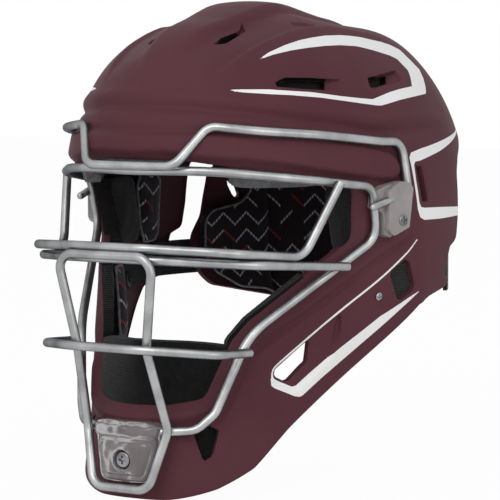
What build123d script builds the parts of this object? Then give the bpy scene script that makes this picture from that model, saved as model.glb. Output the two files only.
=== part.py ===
from build123d import *
import os
from math import cos, degrees, radians, sin

# Baseball catcher helmet, in millimetres, worn upright: -Y is the face, +X the wearer's left,
# +Z up. The origin is in the head cavity, level with the clips that hold the face cage.

# Shell, outside
shell_half_width = 101
front_length = 148
rear_length = 130
plan_centre = 10
widest_height = 15
crown_height = 142
chin_depth = 125
wall = 3.5
side_rise_power = 2.37
front_rise_power = 3.1
rear_rise_power = 2.14
rear_plan_power = 2.3
nape_draw = 16
# Shares of the half width, and powers of the front of the plan, by share of the crown height
half_width_shares = [(-0.88, 0.74), (-0.6, 0.76), (-0.232, 0.95), (0.106, 1.0)]
front_power_shares = [(-0.88, 2.4), (-0.6, 2.05), (-0.232, 1.5), (0.092, 1.55), (0.289, 1.8),
                      (0.423, 2.05)]
section_shares = [-1.06, -0.88, -0.74, -0.6, -0.42, -0.232, -0.06, 0.106, 0.29, 0.45, 0.6, 0.73, 0.84,
                  0.92, 0.97, 0.994]
outline_points = 36
seat_gap = 0.3
cut_reach = 250
search_reach = 40
search_steps = 30

# Face opening, seen square to a plane that faces half left
opening_angle = 50
opening_width = 100
opening_height = 60
opening_corner = 8
opening_shares = [(-1.18, 0.98), (-0.82, 0.97), (-0.46, 0.86), (0.195, 0.71), (0.205, 0.2), (-0.42, -0.5),
                  (-0.52, -0.667), (-0.68, -1.18), (-0.89, -1.235), (-1.18, -1.25)]
opening_depth = 40

# Side profile of the shell: shares of the front length behind the plan centre, and of the crown height
chin_edge_shares = [(-1.2, -0.89), (-0.87, -0.845), (-0.57, -0.63), (-0.23, -0.366), (0.16, -0.15)]
wing_edge_shares = [(0.22, -0.127), (0.19, -0.085), (0.25, -0.01), (0.28, 0.06), (0.31, 0.155), (0.32, 0.32)]
crown_edge_shares = [(0.37, 0.38), (0.48, 0.44), (0.65, 0.49), (1.1, 0.52)]
far_corner_shares = [(1.1, 1.1), (-1.2, 1.1)]

# Windows and vents of the shell: corners on the side, shares as above
ear_window_shares = [(-0.187, -0.058), (-0.11, -0.008), (-0.06, -0.119), (-0.13, -0.166)]
jaw_slot_shares = [(-0.514, -0.29), (-0.522, -0.385), (-0.594, -0.453), (-0.647, -0.426), (-0.645, -0.395)]
wing_slot_shares = [(-0.057, 0.356), (-0.013, 0.356), (0.02, 0.218), (-0.027, 0.218)]
chin_window_shares = [(0.325, -0.634), (0.37, -0.594), (0.42, -0.62), (0.402, -0.721), (0.381, -0.732)]
# Crown vents: front end and rear end, shares of half width, front length before the plan centre, crown height
vent_shares = [((0.59, 0.64, 0.695), (0.73, 0.43, 0.69)),
               ((0.79, 0.21, 0.706), (0.81, 0.05, 0.703)),
               ((0.25, 0.70, 0.855), (0.32, 0.55, 0.905)),
               ((0.35, -0.10, 0.925), (0.36, -0.27, 0.88))]
vent_width = 6
vent_depth = 14

# Face cage
wire = 5
tight_bend = 9
jaw_bend = 40
brow_bend = 60
small_bend = 12
bar_bend = 30
# Corners from the middle of each wire to its left end: shares of half width, front length, crown height
rim_shares = [(0, 0.981, 0.366), (0.465, 0.924, 0.37), (0.812, 0.635, 0.33), (0.941, 0.349, 0.292),
              (0.932, 0.303, 0.094), (0.551, 0.78, -0.254), (0.436, 0.889, -0.549), (0.365, 0.942, -0.611),
              (0.168, 1.011, -0.62)]
rim_bends = [brow_bend, brow_bend, brow_bend, tight_bend, small_bend, jaw_bend, small_bend, small_bend]
brow_shares = [(0.28, 1.0, 0.386), (0.404, 0.895, 0.536), (0.604, 0.829, 0.519), (0.823, 0.591, 0.499),
               (0.95, 0.292, 0.465), (0.975, 0.171, 0.46), (1.006, 0.15, 0.25)]
brow_bends = [tight_bend, tight_bend, brow_bend, brow_bend, bar_bend, tight_bend]
eye_shares = [(0.213, 1.15, 0.0887), (0.64, 0.992, 0.0704), (0.788, 0.67, 0.0373), (0.903, 0.537, 0.317)]
eye_bends = [bar_bend, bar_bend, small_bend]
cross_shares = [(0.238, 1.134, 0.0444), (0.7, 0.897, 0.0211), (0.87, 0.445, -0.012)]
cross_bends = [bar_bend, bar_bend]
lower_shares = [(0.23, 1.165, -0.289), (0.564, 0.999, -0.31), (0.572, 0.801, -0.322)]
lower_bends = [bar_bend, small_bend]
loop_top_share = (0.307, 1.162, 0.0585)
loop_shares = [loop_top_share, (0.222, 1.115, -0.296), (0.26, 1.016, -0.609), (0.178, 1.064, -0.835)]
loop_bends = [tight_bend, small_bend, small_bend, tight_bend]
stub_shares = [(0.963, 0.368, 0.215), (1.0, 0.29, 0.25), (1.006, 0.19, 0.262)]

# Side clips
clip_tilt = 12
clip_seat = 98.6
clip_centre_height = 28.4
clip_width = 31
clip_height = 30
clip_thickness = 7.5
clip_corner = 1.5
cover_bevel = 0.75
clip_shares = [(-0.46, 0.36), (0.18, 0.5), (0.36, 0.48), (0.48, 0.33), (0.48, -0.38), (0.11, -0.51),
               (-0.18, -0.44), (-0.24, -0.1), (-0.5, 0)]
clip_screw_share = (0.24, -0.2)
clip_cover_share = 0.35
wire_play = 0.2

# Chin clip
chin_clip_half_width = 20
chin_clip_foot_share = 0.7
chin_clip_plate = 5
chin_clip_corner = 4
roll_radius = 5
roll_offset = 1
chin_clip_drop = 28
chin_screw_share = 0.55

# Screws and tee nuts of the clips, and the smaller ones of the straps
head_radius = 4.5
head_height = 2.2
shank_radius = 2
shank_play = 0.15
head_gap = 0.6
cross_depth = 1.2
cross_width = 1.2
barrel_radius = 3
flange_radius = 6.5
flange_height = 1.5
nut_seat = 0.5
strap_head_radius = 3.4
strap_head_height = 1.2
strap_nut_radius = 5
strap_nut_play = 2
bore_reach = 25

# Rear plate
plate_inset = 14
plate_wall = 3
plate_corner = 8
plate_shares = [(0.335, 0.295), (0.33, 0.24), (0.305, 0.1), (0.25, 0.02), (0.235, -0.04), (0.25, -0.155),
                (0.29, -0.205), (0.63, -0.28), (1.2, -0.3), (1.2, 0.49), (0.62, 0.475), (0.45, 0.365)]
plate_slot_shares = [(0.415, 0.25), (0.43, 0.25), (0.467, 0.225), (0.488, 0.175), (0.46, 0.17)]
nape_vent_width = 26
nape_vent_height = 8
nape_vent_rise = 30
nape_vent_spacing = 44

# Side straps, their screws and their buckles
strap_inset = 4.2
strap_thickness = 1.8
strap_turns = [58, 70, 82, 94, 106, 115.7]
strap_drift = 4.5
strap_shares = [(-0.31, -0.205), (-0.31, -0.1), (0.1, 0.0), (0.9, 0.0), (0.9, -0.148), (0.1, -0.15)]
strap_screw_share = (-0.268, -0.155)
buckle_turn = 121
buckle_height = -12
buckle_length = 13
buckle_width = 27
buckle_thickness = 2.4
buckle_slot = 2.8
buckle_bar = 2.6
buckle_slot_offset = 3.25
buckle_corner = 2
buckle_stand = 2
pin_radius = 2.5
pin_play = 0.3
boss_radius = 4.5
boss_gap = 0.6
pin_end = 4.5

# Pads. Each has a lower and an upper edge: share of the crown height, then its two turns from the face
pad_seat = 0.5
end_draw = 3
end_lean = 3.6
arc_turn = 30
rise_shares = [0, 0.14, 0.5, 0.86, 1]
fullness_shares = [0.5, 0.88, 1, 0.88, 0.5]
edge_share = 0.72
forehead_thickness = 12
temple_thickness = 14
side_thickness = 11
jaw_thickness = 10
chin_thickness = 15
rear_thickness = 9
crown_thickness = 12
forehead_centre_edges = [(0.4, -21, 21), (0.66, -19, 19)]
forehead_side_edges = [(0.3, 31, 56), (0.62, 25, 58)]
temple_edges = [(0.02, 59.5, 78.5), (0.295, 58, 78.5)]
side_pad_edges = [(0.008, 81.5, 94), (0.3, 81.5, 94)]
jaw_edges = [(-0.36, 54, 62.5), (-0.065, 52.5, 63.5)]
chin_edges = [(-0.82, -34, 34), (-0.28, -37, 37)]
rear_pad_edges = [(-0.22, 108.5, 178), (0.3, 120, 178)]
occiput_edges = [(0.34, 152, 208), (0.45, 156, 204)]
# Crown pads: share of the half width at the middle, and the two ends as shares of the front length
crown_pad_width = 33
crown_centre_share = 0.4
crown_ends_shares = (-0.58, 0.5)
side_crown_ends_shares = (-0.42, 0.36)


def station(rise, shares):
    """Smooth value between the stations of a table of shares."""
    rise = min(max(rise, shares[0][0]), shares[-1][0])
    low = max(k for k in range(len(shares) - 1) if rise >= shares[k][0])

    def slope(k):
        if k in (0, len(shares) - 1):
            return 0
        return (shares[k + 1][1] - shares[k - 1][1]) / (shares[k + 1][0] - shares[k - 1][0])

    span = shares[low + 1][0] - shares[low][0]
    t = (rise - shares[low][0]) / span
    start = (2 * t**3 - 3 * t**2 + 1) * shares[low][1] + (t**3 - 2 * t**2 + t) * span * slope(low)
    return start + (3 * t**2 - 2 * t**3) * shares[low + 1][1] + (t**3 - t**2) * span * slope(low + 1)


def dome(rise, power):
    return max(1 - rise**power, 0) ** (1 / power)


def section_sizes(height, inset=0):
    """Half width, front and rear length, and front power of the level section at a height."""
    rise = min(max((height - widest_height) / (crown_height - inset - widest_height), 0), 1)
    drop = max((widest_height - height) / (widest_height + chin_depth), 0)
    width_share = station(height / crown_height, half_width_shares)
    half = (shell_half_width * width_share - inset) * dome(rise, side_rise_power)
    front = (front_length - inset) * dome(rise, front_rise_power)
    rear = (rear_length - inset) * dome(rise, rear_rise_power) - nape_draw * drop**2
    return half, front, rear, station(height / crown_height, front_power_shares)


def wall_point(turn, height, inset=0):
    """Point of the shell at a turn from the face, in degrees towards the wearer's left."""
    half, front, rear, power = section_sizes(height, inset)
    side, ahead = sin(radians(turn)), cos(radians(turn))
    if ahead < 0:
        power, front = rear_plan_power, rear
    x = half * abs(side) ** (2 / power) * (1 if side > 0 else -1)
    y = plan_centre - front * abs(ahead) ** (2 / power) * (1 if ahead > 0 else -1)
    return Vector(x, y, height)


def inside(point, inset=0):
    """Below zero inside the shell's surface, above zero outside."""
    if point.Z >= crown_height - inset:
        return 1
    half, front, rear, power = section_sizes(point.Z, inset)
    length = front
    if point.Y > plan_centre:
        length, power = rear, rear_plan_power
    return (abs(point.X) / half) ** power + (abs(point.Y - plan_centre) / length) ** power - 1


def outward(point):
    """Direction square to the shell's surface at a point."""
    step = wall / 10
    axes = (Vector(1, 0, 0), Vector(0, 1, 0), Vector(0, 0, 1))
    slopes = [inside(point + axis * step) - inside(point - axis * step) for axis in axes]
    return Vector(*slopes).normalized()


def onto_shell(point, inset=0):
    """Moves a point along its outward direction until it lies on the surface."""
    direction = outward(point)
    low, high = -search_reach - inset, search_reach
    for _ in range(search_steps):
        middle = (low + high) / 2
        if inside(point + direction * middle, inset) > 0:
            high = middle
        else:
            low = middle
    return point + direction * middle


def side_point(share):
    """Place in the side view, Y and Z, from its shares."""
    return plan_centre + share[0] * front_length, share[1] * crown_height


def place(share, side=1):
    """Place in space: shares of the half width, of the front length ahead and of the crown height."""
    x, ahead, rise = share
    return Vector(side * x * shell_half_width, plan_centre - ahead * front_length, rise * crown_height)


def hull(inset, sink=0):
    """Closed solid inside the shell's surface, drawn in by the inset and longer below by the sink."""
    with BuildPart() as solid:
        for share in section_shares:
            height = share * (crown_height - inset) - (sink if share < 0 else 0)
            with BuildSketch(Plane.XY.offset(height)):
                with BuildLine():
                    turns = [360 * k / outline_points for k in range(outline_points)]
                    Spline([tuple(wall_point(turn, height, inset))[:2] for turn in turns], periodic=True)
                make_face()
        loft()
    return solid.part


def side_cut(shares, corner=0):
    """Prism across the whole helmet with a side-view outline."""
    with BuildPart() as prism:
        with BuildSketch(Plane.YZ):
            with BuildLine():
                Polyline([side_point(share) for share in shares], close=True)
            make_face()
            if corner:
                fillet(vertices(), corner)
        extrude(amount=cut_reach, both=True)
    return prism.part


def opening_prism():
    """Wearer's left half of the face opening."""
    turn = radians(opening_angle)
    square_on = Plane((0, 0, 0), x_dir=(cos(turn), sin(turn), 0), z_dir=(sin(turn), -cos(turn), 0))
    plane = square_on.offset(opening_depth)
    with BuildPart() as prism:
        with BuildSketch(plane):
            with BuildLine():
                corners = [(across * opening_width, up * opening_height) for across, up in opening_shares]
                FilletPolyline(corners, radius=opening_corner, close=True)
            make_face()
        extrude(amount=cut_reach)
    return prism.part


def screw(seat, direction, length, radius, rise):
    """Round-headed screw with a cross recess: its head seats on a point, its shank runs inwards."""
    with BuildPart() as body:
        with BuildSketch(Plane(seat, z_dir=direction)):
            Circle(radius)
        extrude(amount=rise)
        rims = body.edges().filter_by(GeomType.CIRCLE)
        fillet(rims.sort_by(lambda edge: edge.arc_center.dot(direction)).last, rise / 2)
        with BuildSketch(Plane(seat + direction * rise, z_dir=direction)):
            Rectangle(radius, cross_width)
            Rectangle(cross_width, radius)
        extrude(amount=-cross_depth, mode=Mode.SUBTRACT)
        with BuildSketch(Plane(seat, z_dir=direction)):
            Circle(shank_radius)
        extrude(amount=-length)
    return body.part


def tee_nut(seat, direction, depth):
    """Nut with its flange against the inner wall and its barrel in the wall's hole."""
    with BuildPart() as body:
        with BuildSketch(Plane(seat, z_dir=direction)):
            Circle(flange_radius)
        extrude(amount=-flange_height)
        with BuildSketch(Plane(seat, z_dir=direction)):
            Circle(barrel_radius)
        extrude(amount=depth)
        with BuildSketch(Plane(seat - direction * flange_height, z_dir=direction)):
            Circle(shank_radius + shank_play)
        extrude(amount=depth + flange_height, mode=Mode.SUBTRACT)
    return body.part


def bore(seat, direction, radius, depth=bore_reach):
    """Straight round cutter through a point, both ways."""
    with BuildPart() as cutter:
        with BuildSketch(Plane(seat, z_dir=direction)):
            Circle(radius)
        extrude(amount=depth, both=True)
    return cutter.part


def wire_route(shares, bends):
    """Corners and bends of a wire from its right end to its left end."""
    left = [place(share) for share in shares]
    right = [place(share, -1) for share in shares]
    if shares[0][0] == 0:
        return right[:0:-1] + left, bends[:0:-1] + bends
    return right[::-1] + left, bends[::-1] + bends


def tube(route, bends, radius):
    """Round bar along straight runs joined by tangent arcs."""
    with BuildPart() as bar:
        with BuildLine() as path:
            FilletPolyline(route, radius=bends)
        with BuildSketch(Plane(path.line @ 0, z_dir=path.line % 0)):
            Circle(radius)
        sweep()
    return bar.part


def cushion(edges, thickness, base, side=1):
    """Padded cushion against a wall drawn in by the base inset: fuller in the middle than at its edges."""
    (low, low_start, low_end), (high, high_start, high_end) = edges
    pieces = 1 + int((high_end - high_start) / arc_turn)
    with BuildPart() as pad:
        for rise, fullness in zip(rise_shares, fullness_shares):
            height = (low + (high - low) * rise) * crown_height
            draw = degrees(end_draw / shell_half_width)
            end_slope = degrees(end_lean / shell_half_width)
            start = low_start + (high_start - low_start) * rise + draw * (1 - fullness)
            end = low_end + (high_end - low_end) * rise - draw * (1 - fullness)

            def at(share, depth):
                turn = start + (end - start) * share
                return tuple(wall_point(side * turn, height, base + depth))[:2]

            def swell(share):
                return thickness * fullness * (1 - (1 - edge_share) * (2 * share - 1) ** 2)

            with BuildSketch(Plane.XY.offset(height)):
                with BuildLine():
                    knots = [k / pieces for k in range(pieces + 1)]
                    for first, last in zip(knots, knots[1:]):
                        middle = (first + last) / 2
                        ThreePointArc(at(first, -pad_seat), at(middle, -pad_seat), at(last, -pad_seat))
                    lean = end_slope / (end - start)
                    knots = [lean + (1 - 2 * lean) * knot for knot in knots]
                    for first, last in zip(knots, knots[1:]):
                        middle = (first + last) / 2
                        face = [at(share, swell(share)) for share in (first, middle, last)]
                        ThreePointArc(*face)
                    Line(at(0, -pad_seat), at(knots[0], swell(knots[0])))
                    Line(at(1, -pad_seat), at(knots[-1], swell(knots[-1])))
                make_face()
        loft()
    return pad.part


def crown_strip(middle, ends, thickness):
    """Padded strip from front to back under the crown."""
    with BuildPart() as strip:
        for rise, fullness in zip(rise_shares, fullness_shares):
            y = plan_centre + (ends[0] + (ends[1] - ends[0]) * rise) * front_length
            half = crown_pad_width / 2 - end_draw * (1 - fullness)

            def under(share, depth):
                x = middle + half * share
                low, high = 0, crown_height
                for _ in range(search_steps):
                    test = (low + high) / 2
                    if inside(Vector(x, y, test), wall) > 0:
                        high = test
                    else:
                        low = test
                return x, low - depth

            with BuildSketch(Plane.XZ.offset(-y)):
                with BuildLine():
                    ThreePointArc(under(-1, 0), under(0, 0), under(1, 0))
                    Line(under(1, 0), under(1 - end_draw / half, thickness * fullness * edge_share))
                    ThreePointArc(under(1 - end_draw / half, thickness * fullness * edge_share),
                                  under(0, thickness * fullness),
                                  under(end_draw / half - 1, thickness * fullness * edge_share))
                    Line(under(end_draw / half - 1, thickness * fullness * edge_share), under(-1, 0))
                make_face()
        loft()
    return strip.part


os.makedirs("parts", exist_ok=True)

# Hulls of the shell, the rear plate and the pads
outer_hull = hull(0)
inner_hull = hull(wall, sink=wall)
clearance_hull = hull(-seat_gap)
liner_hull = hull(wall + pad_seat)
plate_outer = hull(plate_inset)
plate_inner = hull(plate_inset + plate_wall, sink=plate_wall)
plate_liner = hull(plate_inset + plate_wall + pad_seat)

# Wires, by name, each from the wearer's right to the left
wires = {}
for name, shares, bends in (
    ("cage_rim_wire", rim_shares, rim_bends),
    ("cage_brow_wire", brow_shares, brow_bends),
    ("cage_eye_bar", eye_shares, eye_bends),
    ("cage_cross_bar", cross_shares, cross_bends),
    ("cage_lower_bar", lower_shares, lower_bends),
):
    wires[name] = wire_route(shares, bends)
loop_half = [place(share) for share in loop_shares]
stub_routes = [[place(share, side) for share in stub_shares] for side in (1, -1)]


def cage_solid(name):
    route, bends = wires[name]
    return tube(route, bends, wire / 2)


def loop_solid(radius):
    """Closed loop, as two halves that meet on the middle plane."""
    with BuildPart() as loop:
        with BuildLine() as path:
            top, foot = loop_half[0], loop_half[-1]
            points = [Vector(0, top.Y, top.Z)] + loop_half + [Vector(0, foot.Y, foot.Z)]
            FilletPolyline(points, radius=loop_bends)
        with BuildSketch(Plane(path.line @ 0, z_dir=path.line % 0)):
            Circle(radius)
        sweep()
        mirror(about=Plane.YZ)
    return loop.part


def stub_solid(radius, side):
    return tube(stub_routes[0 if side > 0 else 1], [small_bend], radius)


groove = wire / 2 + wire_play
rim_groove = tube(*wires["cage_rim_wire"], groove)
brow_groove = tube(*wires["cage_brow_wire"], groove)
loop_groove = loop_solid(groove)

# Places of the screws: where each axis meets the shell's outside
clip_turn = radians(clip_tilt)
screw_across, screw_up = clip_screw_share[0] * clip_width, clip_screw_share[1] * clip_height
clip_normals = [Vector(side * cos(clip_turn), -sin(clip_turn), 0) for side in (1, -1)]
clip_middles = [normal * clip_seat + Vector(0, 0, clip_centre_height) for normal in clip_normals]
clip_planes = []
clip_screws = []
for side, normal, middle in zip((1, -1), clip_normals, clip_middles):
    across = Vector(side * sin(clip_turn), cos(clip_turn), 0)
    clip_planes.append(Plane(middle, x_dir=across, z_dir=normal))
    start = middle + across * screw_across + Vector(0, 0, screw_up)
    low, high = -search_reach, search_reach
    for _ in range(search_steps):
        half_way = (low + high) / 2
        if inside(start + normal * half_way) > 0:
            high = half_way
        else:
            low = half_way
    clip_screws.append(start + normal * low)
chin_axis = Vector(0, -1, 0)
chin_roll_height = rim_shares[-1][2] * crown_height
chin_screw_height = chin_roll_height - chin_screw_share * chin_clip_drop
chin_screw = onto_shell(Vector(0, plan_centre - front_length, chin_screw_height))
strap_screws = []
for side in (1, -1):
    y, z = side_point(strap_screw_share)
    start = Vector(side * shell_half_width, y, z)
    strap_screws.append(onto_shell(start))

# Front shell: one moulding with the face opening, the windows, the vents and the screw holes
opening = opening_prism()
window_cuts = [side_cut(shares) for shares in (ear_window_shares, jaw_slot_shares, wing_slot_shares)]
barrel_hole = barrel_radius + shank_play
clip_bores = [bore(seat, normal, barrel_hole) for seat, normal in zip(clip_screws, clip_normals)]
chin_bore = bore(chin_screw, chin_axis, barrel_hole)
strap_bores = [bore(seat, outward(seat), shank_radius + shank_play) for seat in strap_screws]
with BuildPart() as front_shell:
    add(outer_hull)
    add(inner_hull, mode=Mode.SUBTRACT)
    add(opening, mode=Mode.SUBTRACT)
    add(opening.mirror(Plane.YZ), mode=Mode.SUBTRACT)
    with BuildSketch(Plane.YZ):
        with BuildLine():
            edge = Spline([side_point(share) for share in chin_edge_shares])
            rest_shares = wing_edge_shares + crown_edge_shares + far_corner_shares
            Polyline([edge @ 1] + [side_point(share) for share in rest_shares] + [edge @ 0])
        make_face()
    extrude(amount=cut_reach, both=True, mode=Mode.INTERSECT)
    for cut in window_cuts + clip_bores + [chin_bore] + strap_bores:
        add(cut, mode=Mode.SUBTRACT)
    with BuildSketch(Plane.XZ):
        for side in (-1, 1):
            with BuildLine():
                corners = [(side * x * shell_half_width, z * crown_height) for x, z in chin_window_shares]
                Polyline(corners, close=True)
            make_face()
    extrude(amount=cut_reach, mode=Mode.SUBTRACT)
    for side in (-1, 1):
        for first, last in vent_shares:
            near, far = place(first, side), place(last, side)
            middle = onto_shell((near + far) / 2)
            with BuildSketch(Plane(middle, x_dir=far - near, z_dir=outward(middle))):
                SlotOverall((far - near).length, vent_width)
            extrude(amount=vent_depth, both=True, mode=Mode.SUBTRACT)
front_shell.part.label = "front_shell"
export_step(front_shell.part, "parts/front_shell.step")

# Face cage: bent wires, welded where they cross
for name in wires:
    with BuildPart() as cage_wire:
        add(cage_solid(name))
    cage_wire.part.label = name
    export_step(cage_wire.part, f"parts/{name}.step")
with BuildPart() as cage_centre_loop:
    add(loop_solid(wire / 2))
cage_centre_loop.part.label = "cage_centre_loop"
export_step(cage_centre_loop.part, "parts/cage_centre_loop.step")
with BuildPart() as cage_stub_wires:
    add(stub_solid(wire / 2, 1))
    add(stub_solid(wire / 2, -1))
cage_stub_wires.part.label = "cage_stub_wires"
export_step(cage_stub_wires.part, "parts/cage_stub_wires.step")

# Side clips: a saddle that follows the shell, with a flat cover plate over the wires
clip_plane = clip_planes[0]
stub_groove = stub_solid(groove, 1)
saddle_height = clip_thickness * (1 - clip_cover_share)
clip_shank = bore(clip_screws[0], clip_plane.z_dir, shank_radius + shank_play)
clip_outline = [(x * clip_width, z * clip_height) for x, z in clip_shares]
with BuildPart() as left_side_clip:
    with BuildSketch(clip_plane.offset(-clip_thickness)):
        with BuildLine():
            Polyline(clip_outline, close=True)
        make_face()
        fillet(vertices(), clip_corner)
    extrude(amount=saddle_height + clip_thickness)
    for cut in (clearance_hull, brow_groove, rim_groove, stub_groove, clip_shank):
        add(cut, mode=Mode.SUBTRACT)
with BuildPart() as left_clip_cover:
    with BuildSketch(clip_plane.offset(saddle_height)):
        with BuildLine():
            Polyline(clip_outline, close=True)
        make_face()
        fillet(vertices(), clip_corner)
    extrude(amount=clip_thickness * clip_cover_share)
    cover_faces = left_clip_cover.faces().sort_by(lambda face: face.center().dot(clip_plane.z_dir))
    chamfer(cover_faces.last.edges(), cover_bevel)
    for cut in (brow_groove, stub_groove, clip_shank):
        add(cut, mode=Mode.SUBTRACT)
with BuildPart() as right_side_clip:
    mirror(left_side_clip.part, about=Plane.YZ)
with BuildPart() as right_clip_cover:
    mirror(left_clip_cover.part, about=Plane.YZ)
left_side_clip.part.label = "left_side_clip"
export_step(left_side_clip.part, "parts/left_side_clip.step")
left_clip_cover.part.label = "left_clip_cover"
export_step(left_clip_cover.part, "parts/left_clip_cover.step")
right_side_clip.part.label = "right_side_clip"
export_step(right_side_clip.part, "parts/right_side_clip.step")
right_clip_cover.part.label = "right_clip_cover"
export_step(right_clip_cover.part, "parts/right_clip_cover.step")

# Screws of the side clips, and the tee nuts behind them
cover_top = saddle_height + clip_thickness * clip_cover_share
clip_lift = cover_top - (clip_screws[0] - clip_plane.origin).dot(clip_plane.z_dir)
clip_screw_length = clip_lift + wall + nut_seat + flange_height
clip_head = clip_screws[0] + clip_plane.z_dir * clip_lift
with BuildPart() as side_clip_screws:
    add(screw(clip_head, clip_plane.z_dir, clip_screw_length, head_radius, head_height))
    mirror(about=Plane.YZ)
side_clip_screws.part.label = "side_clip_screws"
export_step(side_clip_screws.part, "parts/side_clip_screws.step")
nut_drop = wall + nut_seat
with BuildPart() as side_clip_nuts:
    add(tee_nut(clip_screws[0] - clip_plane.z_dir * nut_drop, clip_plane.z_dir, nut_drop - seat_gap))
    mirror(about=Plane.YZ)
side_clip_nuts.part.label = "side_clip_nuts"
export_step(side_clip_nuts.part, "parts/side_clip_nuts.step")

# Chin clip: a roll across the wires above a tapering plate that follows the chin
clip_front_hull = hull(-seat_gap - chin_clip_plate)
roll_middle = Vector(0, plan_centre - rim_shares[-1][1] * front_length - roll_offset, chin_roll_height)
chin_shank = bore(chin_screw, chin_axis, shank_radius + shank_play)
with BuildPart() as chin_plate:
    with BuildSketch(Plane.XZ):
        with BuildLine():
            foot = chin_clip_half_width * chin_clip_foot_share
            low_edge = chin_roll_height - chin_clip_drop
            shoulders = [(-chin_clip_half_width, chin_roll_height), (chin_clip_half_width, chin_roll_height)]
            plate_corners = shoulders + [(foot, low_edge), (-foot, low_edge)]
            FilletPolyline(plate_corners, radius=chin_clip_corner, close=True)
        make_face()
    extrude(amount=cut_reach)
    add(clip_front_hull, mode=Mode.INTERSECT)
with BuildPart() as chin_clip:
    with BuildSketch(Plane.YZ):
        with Locations((roll_middle.Y, roll_middle.Z)):
            Circle(roll_radius)
    extrude(amount=chin_clip_half_width, both=True)
    add(chin_plate.part)
    for cut in (clearance_hull, rim_groove, loop_groove, chin_shank):
        add(cut, mode=Mode.SUBTRACT)
chin_clip.part.label = "chin_clip"
export_step(chin_clip.part, "parts/chin_clip.step")
chin_lift = chin_clip_plate + head_gap
chin_top = chin_screw + chin_axis * chin_lift
with BuildPart() as chin_clip_screw:
    add(screw(chin_top, chin_axis, chin_lift + nut_drop + flange_height, head_radius, head_height))
chin_clip_screw.part.label = "chin_clip_screw"
export_step(chin_clip_screw.part, "parts/chin_clip_screw.step")
with BuildPart() as chin_clip_nut:
    add(tee_nut(chin_screw - chin_axis * nut_drop, chin_axis, nut_drop - seat_gap))
chin_clip_nut.part.label = "chin_clip_nut"
export_step(chin_clip_nut.part, "parts/chin_clip_nut.step")

# Rear plate: floats inside the wings, under the crown's rim, and tilts on the buckle pins
buckle_points = [wall_point(side * buckle_turn, buckle_height, plate_inset) for side in (1, -1)]
with BuildPart() as pin_cut:
    with BuildSketch(Plane.YZ):
        with Locations((buckle_points[0].Y, buckle_height)):
            Circle(pin_radius + pin_play)
    extrude(amount=cut_reach, both=True)
plate_slots = side_cut(plate_slot_shares)
plate_block = side_cut(plate_shares, plate_corner)
with BuildPart() as rear_plate:
    add(plate_outer)
    add(plate_inner, mode=Mode.SUBTRACT)
    add(plate_block, mode=Mode.INTERSECT)
    add(plate_slots, mode=Mode.SUBTRACT)
    add(pin_cut.part, mode=Mode.SUBTRACT)
    with BuildSketch(Plane.XZ):
        for side in (-1, 1):
            with Locations((side * nape_vent_spacing / 2, nape_vent_rise)):
                SlotOverall(nape_vent_width, nape_vent_height)
    extrude(amount=-cut_reach, mode=Mode.SUBTRACT)
rear_plate.part.label = "rear_plate"
export_step(rear_plate.part, "parts/rear_plate.step")

# Buckles on the rear plate: a slotted bar for the strap, and the pin the plate tilts on
buckle_point = buckle_points[0]
buckle_normal = Vector(outward(buckle_point).X, outward(buckle_point).Y, 0).normalized()
buckle_along = Vector(-buckle_normal.Y, buckle_normal.X, 0)
buckle_plane = Plane(buckle_point + buckle_normal * buckle_stand, x_dir=buckle_along, z_dir=buckle_normal)
pin_lift = buckle_stand + buckle_thickness / 2
pin_length = pin_lift + plate_wall + pin_end
with BuildPart() as left_strap_buckle:
    with BuildSketch(buckle_plane):
        RectangleRounded(buckle_length, buckle_width, buckle_corner)
        with Locations((-buckle_slot_offset, 0)):
            Rectangle(buckle_slot, buckle_width - 2 * buckle_bar, mode=Mode.SUBTRACT)
    extrude(amount=buckle_thickness)
    with BuildSketch(buckle_plane):
        Circle(boss_radius)
    extrude(amount=boss_gap - buckle_stand)
    with BuildSketch(Plane(buckle_point + Vector(pin_lift, 0, 0), z_dir=(-1, 0, 0))):
        Circle(pin_radius)
    extrude(amount=pin_length)
with BuildPart() as right_strap_buckle:
    mirror(left_strap_buckle.part, about=Plane.YZ)
left_strap_buckle.part.label = "left_strap_buckle"
export_step(left_strap_buckle.part, "parts/left_strap_buckle.step")
right_strap_buckle.part.label = "right_strap_buckle"
export_step(right_strap_buckle.part, "parts/right_strap_buckle.step")

# Side straps: webbing from the shell to the buckles
strap_level = strap_shares[0][1] * crown_height
strap_block = side_cut(strap_shares)
strap_seat = strap_screws[0]
strap_axis = outward(strap_seat)
strap_nut_depth = strap_inset + strap_thickness + strap_nut_play
strap_bore = bore(strap_seat, strap_axis, shank_radius + shank_play)
strap_lines = []
for extra in (0, strap_thickness):
    line = []
    for k, turn in enumerate(strap_turns):
        drift = strap_drift * (k / (len(strap_turns) - 1)) ** 2
        line.append(tuple(wall_point(turn, strap_level, strap_inset + drift + extra))[:2])
    strap_lines.append(line)
with BuildPart() as left_side_strap:
    with BuildSketch(Plane.XY.offset(-crown_height / 2)):
        with BuildLine():
            outer_edge = Spline(strap_lines[0])
            inner_edge = Spline(strap_lines[1])
            Line(outer_edge @ 0, inner_edge @ 0)
            Line(outer_edge @ 1, inner_edge @ 1)
        make_face()
    extrude(amount=crown_height)
    add(strap_block, mode=Mode.INTERSECT)
    add(strap_bore, mode=Mode.SUBTRACT)
with BuildPart() as right_side_strap:
    mirror(left_side_strap.part, about=Plane.YZ)
left_side_strap.part.label = "left_side_strap"
export_step(left_side_strap.part, "parts/left_side_strap.step")
right_side_strap.part.label = "right_side_strap"
export_step(right_side_strap.part, "parts/right_side_strap.step")
with BuildPart() as strap_screw_pair:
    strap_head = strap_seat + strap_axis * seat_gap
    strap_shank = strap_nut_depth + flange_height
    add(screw(strap_head, strap_axis, strap_shank, strap_head_radius, strap_head_height))
    mirror(about=Plane.YZ)
strap_screw_pair.part.label = "strap_screws"
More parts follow.
